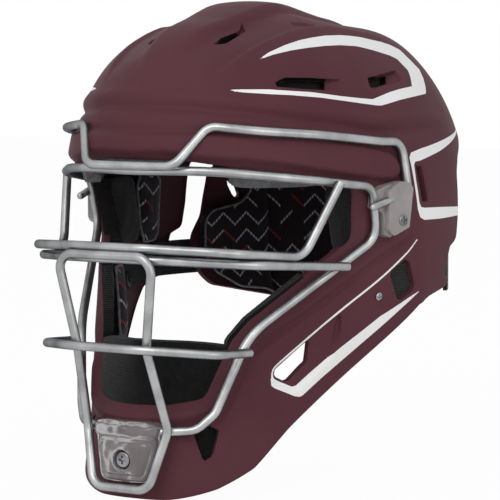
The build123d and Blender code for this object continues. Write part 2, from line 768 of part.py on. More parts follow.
export_step(strap_screw_pair.part, "parts/strap_screws.step")
with BuildPart() as strap_nut_pair:
    with BuildSketch(Plane(strap_seat - strap_axis * strap_nut_depth, z_dir=strap_axis)):
        Circle(strap_nut_radius)
        Circle(shank_radius + shank_play, mode=Mode.SUBTRACT)
    extrude(amount=-flange_height)
    mirror(about=Plane.YZ)
strap_nut_pair.part.label = "strap_nuts"
export_step(strap_nut_pair.part, "parts/strap_nuts.step")

# Pads inside the shell, trimmed to its inner wall
chin_nut_seat = chin_screw - chin_axis * nut_drop
nut_recess = bore(chin_nut_seat, chin_axis, flange_radius + nut_seat, flange_height + nut_seat)
clip_nut_seat = clip_screws[0] - clip_plane.z_dir * nut_drop
clip_nut_recess = bore(clip_nut_seat, clip_plane.z_dir, flange_radius + nut_seat, flange_height + nut_seat)
middle_pads = {
    "forehead_pad_centre": (forehead_centre_edges, forehead_thickness),
    "chin_pad": (chin_edges, chin_thickness),
}
side_pads = {
    "forehead_pad": (forehead_side_edges, forehead_thickness),
    "temple_pad": (temple_edges, temple_thickness),
    "side_pad": (side_pad_edges, side_thickness),
    "jaw_pad": (jaw_edges, jaw_thickness),
}
for name, (edges, thickness) in middle_pads.items():
    solid = cushion(edges, thickness, wall + pad_seat)
    with BuildPart() as middle_pad:
        add(solid)
        add(liner_hull, mode=Mode.INTERSECT)
        if name == "chin_pad":
            add(nut_recess, mode=Mode.SUBTRACT)
    middle_pad.part.label = name
    export_step(middle_pad.part, f"parts/{name}.step")
for name, (edges, thickness) in side_pads.items():
    solid = cushion(edges, thickness, wall + pad_seat)
    with BuildPart() as left_pad:
        add(solid)
        add(liner_hull, mode=Mode.INTERSECT)
        if name == "temple_pad":
            add(clip_nut_recess, mode=Mode.SUBTRACT)
    with BuildPart() as right_pad:
        mirror(left_pad.part, about=Plane.YZ)
    left_pad.part.label = f"left_{name}"
    export_step(left_pad.part, f"parts/left_{name}.step")
    right_pad.part.label = f"right_{name}"
    export_step(right_pad.part, f"parts/right_{name}.step")

# Pads of the rear plate, hollowed for the buckle pins
plate_base = plate_inset + plate_wall + pad_seat
with BuildPart() as pin_recess:
    with BuildSketch(Plane(buckle_point + Vector(pin_lift, 0, 0), z_dir=(-1, 0, 0))):
        Circle(pin_radius + pin_play)
    extrude(amount=pin_length + pin_play)
solid = cushion(rear_pad_edges, rear_thickness, plate_base)
with BuildPart() as left_rear_pad:
    add(solid)
    add(plate_liner, mode=Mode.INTERSECT)
    add(pin_recess.part, mode=Mode.SUBTRACT)
with BuildPart() as right_rear_pad:
    mirror(left_rear_pad.part, about=Plane.YZ)
left_rear_pad.part.label = "left_rear_pad"
export_step(left_rear_pad.part, "parts/left_rear_pad.step")
right_rear_pad.part.label = "right_rear_pad"
export_step(right_rear_pad.part, "parts/right_rear_pad.step")
solid = cushion(occiput_edges, rear_thickness, plate_base)
with BuildPart() as occiput_pad:
    add(solid)
    add(plate_liner, mode=Mode.INTERSECT)
occiput_pad.part.label = "occiput_pad"
export_step(occiput_pad.part, "parts/occiput_pad.step")

# Crown pads, from front to back under the dome
solid = crown_strip(0, crown_ends_shares, crown_thickness)
with BuildPart() as crown_pad_centre:
    add(solid)
    add(liner_hull, mode=Mode.INTERSECT)
crown_pad_centre.part.label = "crown_pad_centre"
export_step(crown_pad_centre.part, "parts/crown_pad_centre.step")
solid = crown_strip(crown_centre_share * shell_half_width, side_crown_ends_shares, crown_thickness)
with BuildPart() as left_crown_pad:
    add(solid)
    add(liner_hull, mode=Mode.INTERSECT)
with BuildPart() as right_crown_pad:
    mirror(left_crown_pad.part, about=Plane.YZ)
left_crown_pad.part.label = "left_crown_pad"
export_step(left_crown_pad.part, "parts/left_crown_pad.step")
right_crown_pad.part.label = "right_crown_pad"
export_step(right_crown_pad.part, "parts/right_crown_pad.step")
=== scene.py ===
import bpy, bmesh, math
import numpy as np
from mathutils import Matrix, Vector


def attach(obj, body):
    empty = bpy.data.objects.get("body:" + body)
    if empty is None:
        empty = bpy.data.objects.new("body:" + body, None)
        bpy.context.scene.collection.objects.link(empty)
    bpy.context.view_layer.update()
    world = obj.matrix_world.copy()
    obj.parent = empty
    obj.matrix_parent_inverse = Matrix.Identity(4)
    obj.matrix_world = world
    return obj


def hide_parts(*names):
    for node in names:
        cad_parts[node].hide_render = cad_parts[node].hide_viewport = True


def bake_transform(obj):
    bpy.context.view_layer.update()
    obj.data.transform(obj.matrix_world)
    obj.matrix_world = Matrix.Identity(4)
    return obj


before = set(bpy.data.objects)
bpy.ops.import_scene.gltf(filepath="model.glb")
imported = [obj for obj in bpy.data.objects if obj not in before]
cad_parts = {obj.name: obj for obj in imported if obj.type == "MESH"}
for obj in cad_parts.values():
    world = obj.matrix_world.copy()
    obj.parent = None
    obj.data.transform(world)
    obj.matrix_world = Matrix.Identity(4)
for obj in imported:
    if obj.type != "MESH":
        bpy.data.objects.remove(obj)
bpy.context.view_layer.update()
mm = 0.001

# the camera comes first, at the photo's angle
camera = {"azimuth": 32.0, "elevation": 4.6, "distance": 1553.0, "pixelsPerMm": 1.72, "middle": (265.6, 249.9)}


def viewAxes():
    a, e = math.radians(camera["azimuth"]), math.radians(camera["elevation"])
    back = np.array([math.sin(a) * math.cos(e), -math.cos(a) * math.cos(e), math.sin(e)])
    right = np.array([math.cos(a), math.sin(a), 0.0])
    return back, right, np.cross(back, right)


def makeCamera():
    back, right, up = viewAxes()
    cam = bpy.data.objects.new("photoCamera", bpy.data.cameras.new("photoCamera"))
    bpy.context.scene.collection.objects.link(cam)
    cam.location = Vector(back * camera["distance"] * mm)
    cam.rotation_euler = Vector(-back).to_track_quat("-Z", "Y").to_euler()
    cam.data.sensor_width = 36
    cam.data.lens = 36 * camera["pixelsPerMm"] * camera["distance"] / 500
    cam.data.shift_x = (250 - camera["middle"][0]) / 500
    cam.data.shift_y = (camera["middle"][1] - 250) / 500
    cam.data.clip_end = 20
    bpy.context.scene.camera = cam


def photoChart(p):
    back, right, up = viewAxes()
    k = camera["pixelsPerMm"] * camera["distance"] / (camera["distance"] - p @ back)
    return np.stack([camera["middle"][0] + k * (p @ right), camera["middle"][1] - k * (p @ up)], -1)


makeCamera()
print("camera ready")

# the helmet's own surface in millimetres, drawn in by an inset
body = {"half": 101.0, "front": 148.0, "rear": 130.0, "middleY": 10.0, "widest": 15.0, "top": 142.0, "chin": 125.0,
        "sideRise": 2.37, "frontRise": 3.1, "rearRise": 2.14, "rearPlan": 2.3, "napeDraw": 16.0,
        "halfAt": ((-125, 74.74), (-85.2, 76.76), (-32.94, 95.95), (15.05, 101.0)),
        "frontPlanAt": ((-125, 2.4), (-85.2, 2.05), (-32.94, 1.5), (13.06, 1.55), (41.04, 1.8), (60.07, 2.05)),
        "crownDrop": ((-128, 1), (-100, 4.2), (-80, 5.5), (-62, 6.1), (-46, 4.2), (-34, 2.3), (-20, 1.2), (-10, 2.2), (4, 4.9),
                      (18, 7.4), (30, 8.4), (46, 7.8), (62, 6.3), (84, 3.5), (112, 0)),
        "dropHalf": (20, 62), "dropHeight": (74, 98)}


def between(z, table):
    xs = np.array([t[0] for t in table], float)
    ys = np.array([t[1] for t in table], float)
    slopes = np.zeros(len(xs))
    slopes[1:-1] = (ys[2:] - ys[:-2]) / (xs[2:] - xs[:-2])
    z = np.clip(z, xs[0], xs[-1])
    i = np.clip(np.searchsorted(xs, z) - 1, 0, len(xs) - 2)
    h = xs[i + 1] - xs[i]
    t = (z - xs[i]) / h
    return ((2 * t**3 - 3 * t**2 + 1) * ys[i] + (t**3 - 2 * t**2 + t) * h * slopes[i]
            + (3 * t**2 - 2 * t**3) * ys[i + 1] + (t**3 - t**2) * h * slopes[i + 1])


def levelSizes(z, inset=0.0):
    z = np.asarray(z, float)
    rise = np.clip((z - body["widest"]) / (body["top"] - inset - body["widest"]), 0, 1)
    drop = np.clip((body["widest"] - z) / (body["widest"] + body["chin"]), 0, None)
    half = (between(z, body["halfAt"]) - inset) * (1 - rise ** body["sideRise"]) ** (1 / body["sideRise"])
    front = (body["front"] - inset) * (1 - rise ** body["frontRise"]) ** (1 / body["frontRise"])
    rear = (body["rear"] - inset) * (1 - rise ** body["rearRise"]) ** (1 / body["rearRise"]) - body["napeDraw"] * drop**2
    return half, front, rear, between(z, body["frontPlanAt"])


def wallAt(turn, z, inset=0.0):
    half, front, rear, power = levelSizes(z, inset)
    s, c = np.sin(np.radians(turn)), np.cos(np.radians(turn))
    power = np.where(c < 0, body["rearPlan"], power)
    length = np.where(c < 0, rear, front)
    x = half * np.abs(s) ** (2 / power) * np.sign(s)
    y = body["middleY"] - length * np.abs(c) ** (2 / power) * np.sign(c)
    return np.stack([x, y, np.broadcast_to(z, x.shape)], -1)


def insideness(p, inset=0.0):
    above = p[..., 2] >= body["top"] - inset
    half, front, rear, power = levelSizes(np.minimum(p[..., 2], body["top"] - inset), inset)
    half, front, rear = (np.maximum(v, 1e-4) for v in (half, front, rear))
    behind = p[..., 1] > body["middleY"]
    length = np.where(behind, rear, front)
    power = np.where(behind, body["rearPlan"], power)
    value = np.abs(p[..., 0] / half) ** power + np.abs((p[..., 1] - body["middleY"]) / length) ** power - 1
    return np.where(above, 1.0, value)


def reachWall(start, direction, inset, longest):
    low, high = np.zeros(len(direction)), np.full(len(direction), float(longest))
    for _ in range(40):
        middle = (low + high) / 2
        out = insideness(start + direction * middle[:, None], inset) > 0
        high, low = np.where(out, middle, high), np.where(out, low, middle)
    return start + direction * low[:, None]


# the crown is lower than the plain surface before and behind its highest place
def crownDrop(p):
    across = 1 - ramp(np.abs(p[..., 0]), *body["dropHalf"])
    return between(p[..., 1], body["crownDrop"]) * across * ramp(p[..., 2], *body["dropHeight"])


# outlines: rounded polygons, soft lines, and how far points lie from them
def roundedOutline(points, radius, steps=6):
    pts = [np.array(p, float) for p in points]
    radii = radius if hasattr(radius, "__len__") else [radius] * len(pts)
    out = []
    for i, b in enumerate(pts):
        u, v = pts[i - 1] - b, pts[(i + 1) % len(pts)] - b
        lu, lv = np.linalg.norm(u), np.linalg.norm(v)
        u, v = u / lu, v / lv
        turn = math.acos(max(-1, min(1, float(u @ v))))
        if radii[i] < 1e-6 or turn > math.radians(176):
            out.append(b)
            continue
        reach = min(radii[i] / math.tan(turn / 2), 0.48 * lu, 0.48 * lv)
        for t in np.linspace(0, 1, steps):
            out.append((1 - t) ** 2 * (b + u * reach) + 2 * t * (1 - t) * b + t**2 * (b + v * reach))
    return np.array(out)


def smoothLine(points, steps=6):
    pts = np.array(points, float)
    padded = np.vstack([2 * pts[0] - pts[1], pts, 2 * pts[-1] - pts[-2]])
    out = []
    for i in range(len(pts) - 1):
        a, b, c, d = padded[i:i + 4]
        for t in np.arange(steps) / steps:
            out.append(0.5 * (2 * b + (c - a) * t + (2 * a - 5 * b + 4 * c - d) * t**2 + (3 * b - a - 3 * c + d) * t**3))
    return np.array(out + [pts[-1]])


def lineDistance(q, line, closed=False):
    line = np.asarray(line, float)
    starts = line if closed else line[:-1]
    ends = np.roll(line, -1, axis=0) if closed else line[1:]
    best = np.full(len(q), 1e9)
    for a, b in zip(starts, ends):
        d = b - a
        t = np.clip(((q - a) @ d) / max(float(d @ d), 1e-12), 0, 1)
        best = np.minimum(best, np.linalg.norm(q - a - t[:, None] * d, axis=1))
    return best


def insideOutline(q, outline):
    inside = np.zeros(len(q), bool)
    for a, b in zip(outline, np.roll(outline, -1, axis=0)):
        crosses = (a[1] > q[:, 1]) != (b[1] > q[:, 1])
        if abs(b[1] - a[1]) > 1e-12:
            inside ^= crosses & (q[:, 0] < a[0] + (q[:, 1] - a[1]) / (b[1] - a[1]) * (b[0] - a[0]))
    return np.where(inside, 1, -1) * lineDistance(q, outline, closed=True)


def ramp(x, low, high):
    t = np.clip((x - low) / (high - low), 0, 1)
    return t * t * (3 - 2 * t)


# triangle skins, split along level lines so that their edges come out crisp
def splitSkin(points, faces, level):
    level = np.where(np.abs(level) < 2e-3, 0, level)
    sign = np.sign(level)
    mixed = (sign[faces].max(1) > 0) & (sign[faces].min(1) < 0)
    keep, cut = faces[~mixed], faces[mixed]
    if not len(cut):
        return points, faces
    edges = np.unique(np.sort(np.concatenate([cut[:, [0, 1]], cut[:, [1, 2]], cut[:, [2, 0]]]), axis=1), axis=0)
    edges = edges[level[edges[:, 0]] * level[edges[:, 1]] < 0]
    t = level[edges[:, 0]] / (level[edges[:, 0]] - level[edges[:, 1]])
    fresh = points[edges[:, 0]] + t[:, None] * (points[edges[:, 1]] - points[edges[:, 0]])
    number = {(int(a), int(b)): len(points) + k for k, (a, b) in enumerate(edges)}
    made = []
    for tri in cut:
        tri = [int(i) for i in tri]
        s = [sign[i] for i in tri]
        k = s.index(0) if 0 in s else s.index(-np.sign(sum(s)))
        a, b, c = tri[k], tri[(k + 1) % 3], tri[(k + 2) % 3]
        if s[k] == 0:
            m = number[(min(b, c), max(b, c))]
            made += [(a, b, m), (a, m, c)]
        else:
            m, n = number[(min(a, b), max(a, b))], number[(min(a, c), max(a, c))]
            made += [(a, m, n), (m, b, c), (m, c, n)]
    return np.vstack([points, fresh]), np.vstack([keep, np.array(made)])


def halfSkin(inset, fineness, heart=(0.0, -10.0, 0.0)):
    ball = bmesh.new()
    bmesh.ops.create_icosphere(ball, subdivisions=fineness, radius=1)
    directions = np.array([v.co[:] for v in ball.verts])
    faces = np.array([[v.index for v in f.verts] for f in ball.faces])
    ball.free()
    points = reachWall(np.array(heart), directions, inset, 330)
    points[:, 2] -= crownDrop(points)
    points, faces = splitSkin(points, faces, points[:, 0])
    points[np.abs(points[:, 0]) < 5e-3, 0] = 0
    return points, faces[points[faces].mean(1)[:, 0] > 0]


def tidySkin(points, faces):
    used, faces = np.unique(faces, return_inverse=True)
    faces = faces.reshape(-1, 3)
    points = points[used]
    areas = np.linalg.norm(np.cross(points[faces[:, 1]] - points[faces[:, 0]], points[faces[:, 2]] - points[faces[:, 0]]), axis=1)
    return points, faces[areas > 1e-9], used


def vertexNormals(points, faces):
    n = np.cross(points[faces[:, 1]] - points[faces[:, 0]], points[faces[:, 2]] - points[faces[:, 0]])
    out = np.zeros_like(points)
    for k in range(3):
        np.add.at(out, faces[:, k], n)
    return out / np.maximum(np.linalg.norm(out, axis=1, keepdims=True), 1e-12)


def openEdges(faces):
    edges = np.concatenate([faces[:, [0, 1]], faces[:, [1, 2]], faces[:, [2, 0]]])
    key = np.sort(edges, axis=1)
    _, first, count = np.unique(key, axis=0, return_index=True, return_counts=True)
    return edges[first[count == 1]]


def mirrored(points, faces, marks):
    middle = np.abs(points[:, 0]) < 5e-3
    number = np.where(middle, np.arange(len(points)), 0)
    number[~middle] = len(points) + np.arange((~middle).sum())
    both = np.vstack([points, points[~middle] * (-1, 1, 1)])
    return both, np.vstack([faces, number[faces][:, ::-1]]), np.concatenate([marks, marks]), np.concatenate([np.arange(len(points)), np.nonzero(~middle)[0]])


def meshPiece(name, points, faces, materials, marks=None, smooth=True, sharp=None):
    mesh = bpy.data.meshes.new(name)
    mesh.from_pydata((np.asarray(points) * mm).tolist(), [], [tuple(int(i) for i in f) for f in faces])
    for material in materials if isinstance(materials, (list, tuple)) else [materials]:
        mesh.materials.append(material)
    if marks is not None:
        mesh.polygons.foreach_set("material_index", np.asarray(marks, dtype=np.int32))
    mesh.validate()
    if smooth:
        mesh.shade_smooth()
        if sharp:
            mesh.set_sharp_from_angle(angle=math.radians(sharp))
    piece = bpy.data.objects.new(name, mesh)
    bpy.context.scene.collection.objects.link(piece)
    return piece


# materials
def linear(rgb):
    return [(c / 255 / 12.92 if c / 255 <= 0.04045 else ((c / 255 + 0.055) / 1.055) ** 2.4) for c in rgb] + [1.0]


def newMaterial(name, colour, roughness, metallic=0.0, specular=0.5):
    material = bpy.data.materials.new(name)
    material.use_nodes = True
    shader = material.node_tree.nodes["Principled BSDF"]
    shader.inputs["Base Color"].default_value = linear(colour)
    shader.inputs["Roughness"].default_value = roughness
    shader.inputs["Metallic"].default_value = metallic
    shader.inputs["Specular IOR Level"].default_value = specular
    return material, material.node_tree, shader


def addNode(tree, kind, **values):
    node = tree.nodes.new(kind)
    for key, value in values.items():
        if hasattr(node, key):
            setattr(node, key, value)
        else:
            node.inputs[key.replace("_", " ")].default_value = value
    return node


def objectNoise(tree, scale, detail=4.0, roughness=0.5):
    place = addNode(tree, "ShaderNodeTexCoord")
    noise = addNode(tree, "ShaderNodeTexNoise", Scale=scale, Detail=detail, Roughness=roughness)
    tree.links.new(place.outputs["Object"], noise.inputs["Vector"])
    return noise


def colourDrift(tree, shader, noise, dark, light, low=0.35, high=0.65):
    mix = addNode(tree, "ShaderNodeValToRGB")
    mix.color_ramp.elements[0].position, mix.color_ramp.elements[0].color = low, linear(dark)
    mix.color_ramp.elements[1].position, mix.color_ramp.elements[1].color = high, linear(light)
    tree.links.new(noise.outputs["Fac"], mix.inputs["Fac"])
    tree.links.new(mix.outputs["Color"], shader.inputs["Base Color"])


def roughnessDrift(tree, shader, noise, low, high):
    spread = addNode(tree, "ShaderNodeMapRange")
    spread.inputs["To Min"].default_value, spread.inputs["To Max"].default_value = low, high
    tree.links.new(noise.outputs["Fac"], spread.inputs["Value"])
    tree.links.new(spread.outputs["Result"], shader.inputs["Roughness"])


def addBump(tree, shader, height, strength, distance):
    bump = addNode(tree, "ShaderNodeBump", Strength=strength, Distance=distance)
    tree.links.new(height, bump.inputs["Height"])
    tree.links.new(bump.outputs["Normal"], shader.inputs["Normal"])
    return bump


shellPaint = {"lit": (86, 50, 57), "deep": (80, 45, 52), "stripe": (236, 236, 236), "roughness": (0.54, 0.66)}


def shellMaterial(name, dark, light, rough):
    material, tree, shader = newMaterial(name, light, rough[0], specular=0.09)
    colourDrift(tree, shader, objectNoise(tree, 14, 3), dark, light)
    grain = objectNoise(tree, 2600, 2)
    roughnessDrift(tree, shader, objectNoise(tree, 60, 5), *rough)
    addBump(tree, shader, grain.outputs["Fac"], 0.12, 0.0002)
    return material


shellMatte = shellMaterial("matteShell", shellPaint["deep"], shellPaint["lit"], shellPaint["roughness"])
stripeWhite = shellMaterial("whiteStripe", (229, 229, 230), shellPaint["stripe"], (0.42, 0.52))
innerMatte = shellMaterial("innerShell", (66, 38, 45), (74, 43, 50), (0.6, 0.7))
print("shell materials ready")

# front shell, in millimetres; side outlines are (y, z) seen from the wearer's left, the crown's are photo pixels
shell = {
    "wall": 3.5, "fineness": 8, "innerFineness": 7,
    "profile": ((-175, -126.3), (-135, -125.3), (-119.1, -119.6), (-99.5, -109.6), (-77.1, -90.9), (-62.6, -80.2),
                (-37.3, -61.4), (-5.4, -38.5), (9.5, -27.8), (20.1, -23.5), (32.5, -21.1), (40, -19.8), (43.3, -17.6),
                (42.6, -15.4), (36.3, -11.6), (41.2, 0.8), (42.4, 3.2), (52.6, 6.9), (55.9, 22), (57.4, 45.4),
                (64.8, 54), (81, 62.5), (106, 69.6), (172, 73.8), (172, 220), (-175, 220)),
    "profileCorners": (0, 8, 12, 12, 12, 12, 20, 12, 12, 8, 6, 4, 2, 2, 5, 5, 3, 6, 20, 10, 8, 12, 20, 0, 0, 0),
    "openingTurn": 50, "openingFrom": 40, "openingCorner": 8,
    "opening": ((-118, 58.8), (-82, 58.2), (-46, 51.6), (19.5, 42.6), (20.5, 12), (-42, -30), (-52, -40),
                (-68, -70.8), (-89, -74.1), (-118, -75)),
    "earWindow": ((-8.4, -0.6), (-4.6, -2.2), (1.6, -15.5), (1, -19), (-7.7, -23.7), (-10.9, -23.4), (-18.6, -9.5), (-18.2, -6)),
    "jawSlot": ((-66.2, -41.2), (-67.1, -54.5), (-69.4, -56.3), (-77, -63.6), (-79.4, -64.3), (-85, -61.3), (-86, -59.7),
                (-85.4, -57)),
    "wingSlot": ((1.6, 51.2), (7.6, 51.2), (12.4, 31), (6, 31)),
    "chinWindow": ((32.8, -90), (37.4, -84.3), (42.4, -88), (41.2, -101), (38.6, -104.2), (37.4, -103.6)),
    "sideVent": ((275, 82), (285, 77.1), (310, 77.3), (328.6, 78.6), (327.8, 90), (301.7, 88.4), (277, 86.3)),
    "sideVentRamp": ((275, 82), (285, 77.1), (310, 77.3), (341.5, 79.4), (341.5, 90.6), (301.7, 88.4), (277, 86.3)),
    "rearVent": ((367.8, 77.4), (370.3, 86), (374.4, 86), (390.5, 81), (390, 72.5)),
    "rearVentRamp": ((367.8, 77.4), (370.5, 87.5), (374.4, 88.6), (399.7, 81.4), (401.6, 78.4), (395.6, 70)),
    "spineVent": ((214, 41.4), (221, 34.5), (239.6, 27.4), (243.4, 28.4), (239.4, 31.4), (226, 39.8)),
    "spineVentRamp": ((212, 42), (221, 34.5), (239, 27.2), (242.6, 21.5), (245.6, 28.6), (239.4, 32.4), (226, 40.6)),
    "valleyVent": ((289.6, 18.6), (305.7, 19.8), (321.8, 24.8), (305, 25.8), (293, 23.5)),
    "crownStripe": ((257.2, 60.1), (269, 52.3), (285, 45), (300, 40), (311.5, 37.6), (324.5, 35.6), (340, 35.1),
                    (350.7, 35.9), (360.5, 37.2), (371, 39.7), (381, 42), (390, 45), (399.7, 49.8), (410.3, 60.1),
                    (419.3, 69.4), (423.4, 78.4), (425.5, 86.6), (426.1, 93.6), (399.7, 100), (390, 103),
                    (381.7, 105.5), (377.6, 105.5), (360.5, 103.2), (340, 100.3), (319.6, 97.5), (290, 95.1),
                    (269, 94.2), (241, 92.6), (227.4, 90.2), (239.6, 89.5), (269, 89.4), (290, 90.8), (310, 92),
                    (324.5, 93.8), (340, 96), (360.5, 98.2), (372.7, 99.2), (390, 92), (399.7, 89), (411.9, 86.2),
                    (410.8, 78.4), (408.2, 70.6), (397.2, 59.1), (390, 55.5), (373.5, 50.3), (360.5, 47), (355.6, 46.1),
                    (340, 45.1), (324.5, 45.9), (308, 47.7), (290, 50.6), (274, 54.4)),
    "wingStripe": ((86, 69.8), (54.3, 66.3), (36.7, 64.1), (21.3, 62.2), (8, 60.6), (-2, 58.9), (-4.4, 56.3), (-3.8, 53),
                   (-2, 43.6), (0.9, 26.9), (3.2, 22.4), (7.3, 20.8), (26.3, 20.4), (70, 20.7), (70, 25), (26.5, 27),
                   (7.5, 27.6), (4.2, 28.2), (2.5, 30.7), (0.1, 43.5), (-0.5, 52), (1.2, 53.8), (6.5, 54.1),
                   (33.3, 58.6), (54, 62.8), (86, 69.4)),
    "jawStripe": ((-87.2, -59.9), (-88.5, -62.2), (-88.2, -65.6), (-86.4, -67.1), (-74.1, -72.5), (-70.5, -73.2),
                  (-68.5, -72.3), (-57.7, -63.9), (-33.9, -46.9), (-8.1, -29), (8.6, -18.2), (-2.9, -22.9), (-22.7, -31.9),
                  (-47.3, -47.5), (-65.5, -60.9), (-73.2, -67), (-75.6, -67.3), (-83.8, -63.6), (-86, -62.2)),
    "jawLine": ((0.2, 9.8), (-6, 4.3), (-12.6, -0.4), (-25.8, -10.3), (-43.9, -22.9), (-55, -31.1), (-66.7, -40.1),
                (-77.7, -48.7), (-85.6, -55.3), (-87.2, -58.2), (-87.3, -61)),
    "jawLineWidth": 1.25,
    "jawCrease": ((-110, -57), (-95.5, -45.7), (-77.5, -33.8), (-61.1, -22.4), (-45.1, -10.9), (-31, -1.5), (-13.1, 8.4), (-2, 13.5)),
    "jawPocket": ((-88.5, -60), (-86, -65.5), (-75, -69.5), (-71.5, -69), (-54, -54), (-49, -44), (-47.5, -27.5), (-60, -36), (-86, -56)),
    "jawStep": ((-48.6, -24.5), (-49.7, -28.5), (-51.2, -36), (-51.9, -44.1), (-51.5, -48)),
    "browCrease": ((-140, 88.2), (-128.7, 88), (-122, 87.6), (-117.6, 86.2), (-104.7, 84.7), (-93, 82.3), (-75, 79.4),
                   (-52.7, 76.4), (-40, 74), (-26, 72.6), (0, 73.2), (26.5, 74.6), (50, 75.5)),
    "visorPanel": ((-20, 62), (1.2, 62), (15, 62.4), (28, 59.6), (50, 58), (67.6, 55.4), (88, 51.2), (114.6, 47.6),
                   (130, 45.4), (142, 44.6), (148.6, 46.5), (150.5, 50.5), (147.4, 56), (140, 60), (130, 62.2), (110, 65),
                   (90, 67.8), (60, 70.6), (34, 71.6), (-20, 71.5)),
    "spineHalf": ((-130, 4.5), (-121, 8.0), (-109, 12), (-92, 14.6), (-74.5, 15.7), (-56, 18.4), (-35, 20.7), (0, 23), (40, 23), (90, 18)),
    "ridgeAt": ((-112, 35.5), (-102.6, 37.1), (-97.6, 38.3), (-85.5, 40.7), (-70, 42.7), (-53.6, 44.8), (-37.6, 46.7),
                (-28.4, 49), (-15.3, 50.3), (0.7, 55), (19.7, 59.4), (45, 64), (80, 66)),
}


def lookUp(x, table):
    xs, ys = zip(*table)
    return np.interp(x, xs, ys)


def openingChart(p):
    a = math.radians(shell["openingTurn"])
    return np.stack([p[:, 0] * math.cos(a) + p[:, 1] * math.sin(a), p[:, 2]], -1)


def openingLevel(p):
    a = math.radians(shell["openingTurn"])
    outline = roundedOutline(shell["opening"], shell["openingCorner"])
    cut = insideOutline(openingChart(p), outline)
    behind = shell["openingFrom"] - (p[:, 0] * math.sin(a) - p[:, 1] * math.cos(a))
    return np.maximum(-cut, behind)


def sideLevel(p, outline, radius=1.5):
    return insideOutline(p[:, 1:3], roundedOutline(outline, radius))


def photoLevel(p, outline, radius=1.5):
    away = np.where((p[:, 2] > 55) & (p[:, 0] > 8), 0.0, 60.0)
    hidden = np.maximum(0, p[:, 1] - 62) * 3 + away
    return (insideOutline(photoChart(p), roundedOutline(outline, radius)) - hidden) / camera["pixelsPerMm"]


def frontLevel(p, outline, radius=1.5):
    return insideOutline(p[:, [0, 2]], roundedOutline(outline, radius)) - np.maximum(0, p[:, 1]) * 2


shellCuts = {
    "profile": lambda p: sideLevel(p, shell["profile"], shell["profileCorners"]),
    "opening": openingLevel,
    "earWindow": lambda p: -sideLevel(p, shell["earWindow"]),
    "jawSlot": lambda p: -sideLevel(p, shell["jawSlot"]),
    "wingSlot": lambda p: -sideLevel(p, shell["wingSlot"], 1.2),
    "chinWindow": lambda p: -frontLevel(p, shell["chinWindow"]),
    "sideVent": lambda p: -photoLevel(p, shell["sideVent"], 2.5),
    "rearVent": lambda p: -photoLevel(p, shell["rearVent"], 1.2),
    "spineVent": lambda p: -photoLevel(p, shell["spineVent"], 1.0),
}


def jawLineLevel(p):
    line = smoothLine(shell["jawLine"], 4)
    taper = ramp(p[:, 1], 2, -14) * 0.35 + 0.65
    return shell["jawLineWidth"] / 2 * taper - lineDistance(p[:, 1:3], line)


shellMarks = {
    "crownStripe": lambda p: photoLevel(p, shell["crownStripe"], 0.5),
    "wingStripe": lambda p: sideLevel(p, shell["wingStripe"], 0.8),
    "jawStripe": lambda p: np.maximum(sideLevel(p, shell["jawStripe"], 0.8), jawLineLevel(p)),
}
shellFolds = {
    "sideVentRamp": lambda p: photoLevel(p, shell["sideVentRamp"], 2.5),
    "rearVentRamp": lambda p: photoLevel(p, shell["rearVentRamp"], 1.2),
    "spineVentRamp": lambda p: photoLevel(p, shell["spineVentRamp"], 0.8),
    "valleyVent": lambda p: photoLevel(p, shell["valleyVent"], 1.5),
}


def sideOf(q, line):
    line = np.asarray(line, float)
    best, side = np.full(len(q), 1e9), np.zeros(len(q))
    for a, b in zip(line[:-1], line[1:]):
        d = b - a
        t = np.clip(((q - a) @ d) / float(d @ d), 0, 1)
        off = q - a - t[:, None] * d
        gap = np.linalg.norm(off, axis=1)
        nearer = gap < best
        best = np.where(nearer, gap, best)
        side = np.where(nearer, np.sign(d[0] * off[:, 1] - d[1] * off[:, 0]), side)
    return best * side


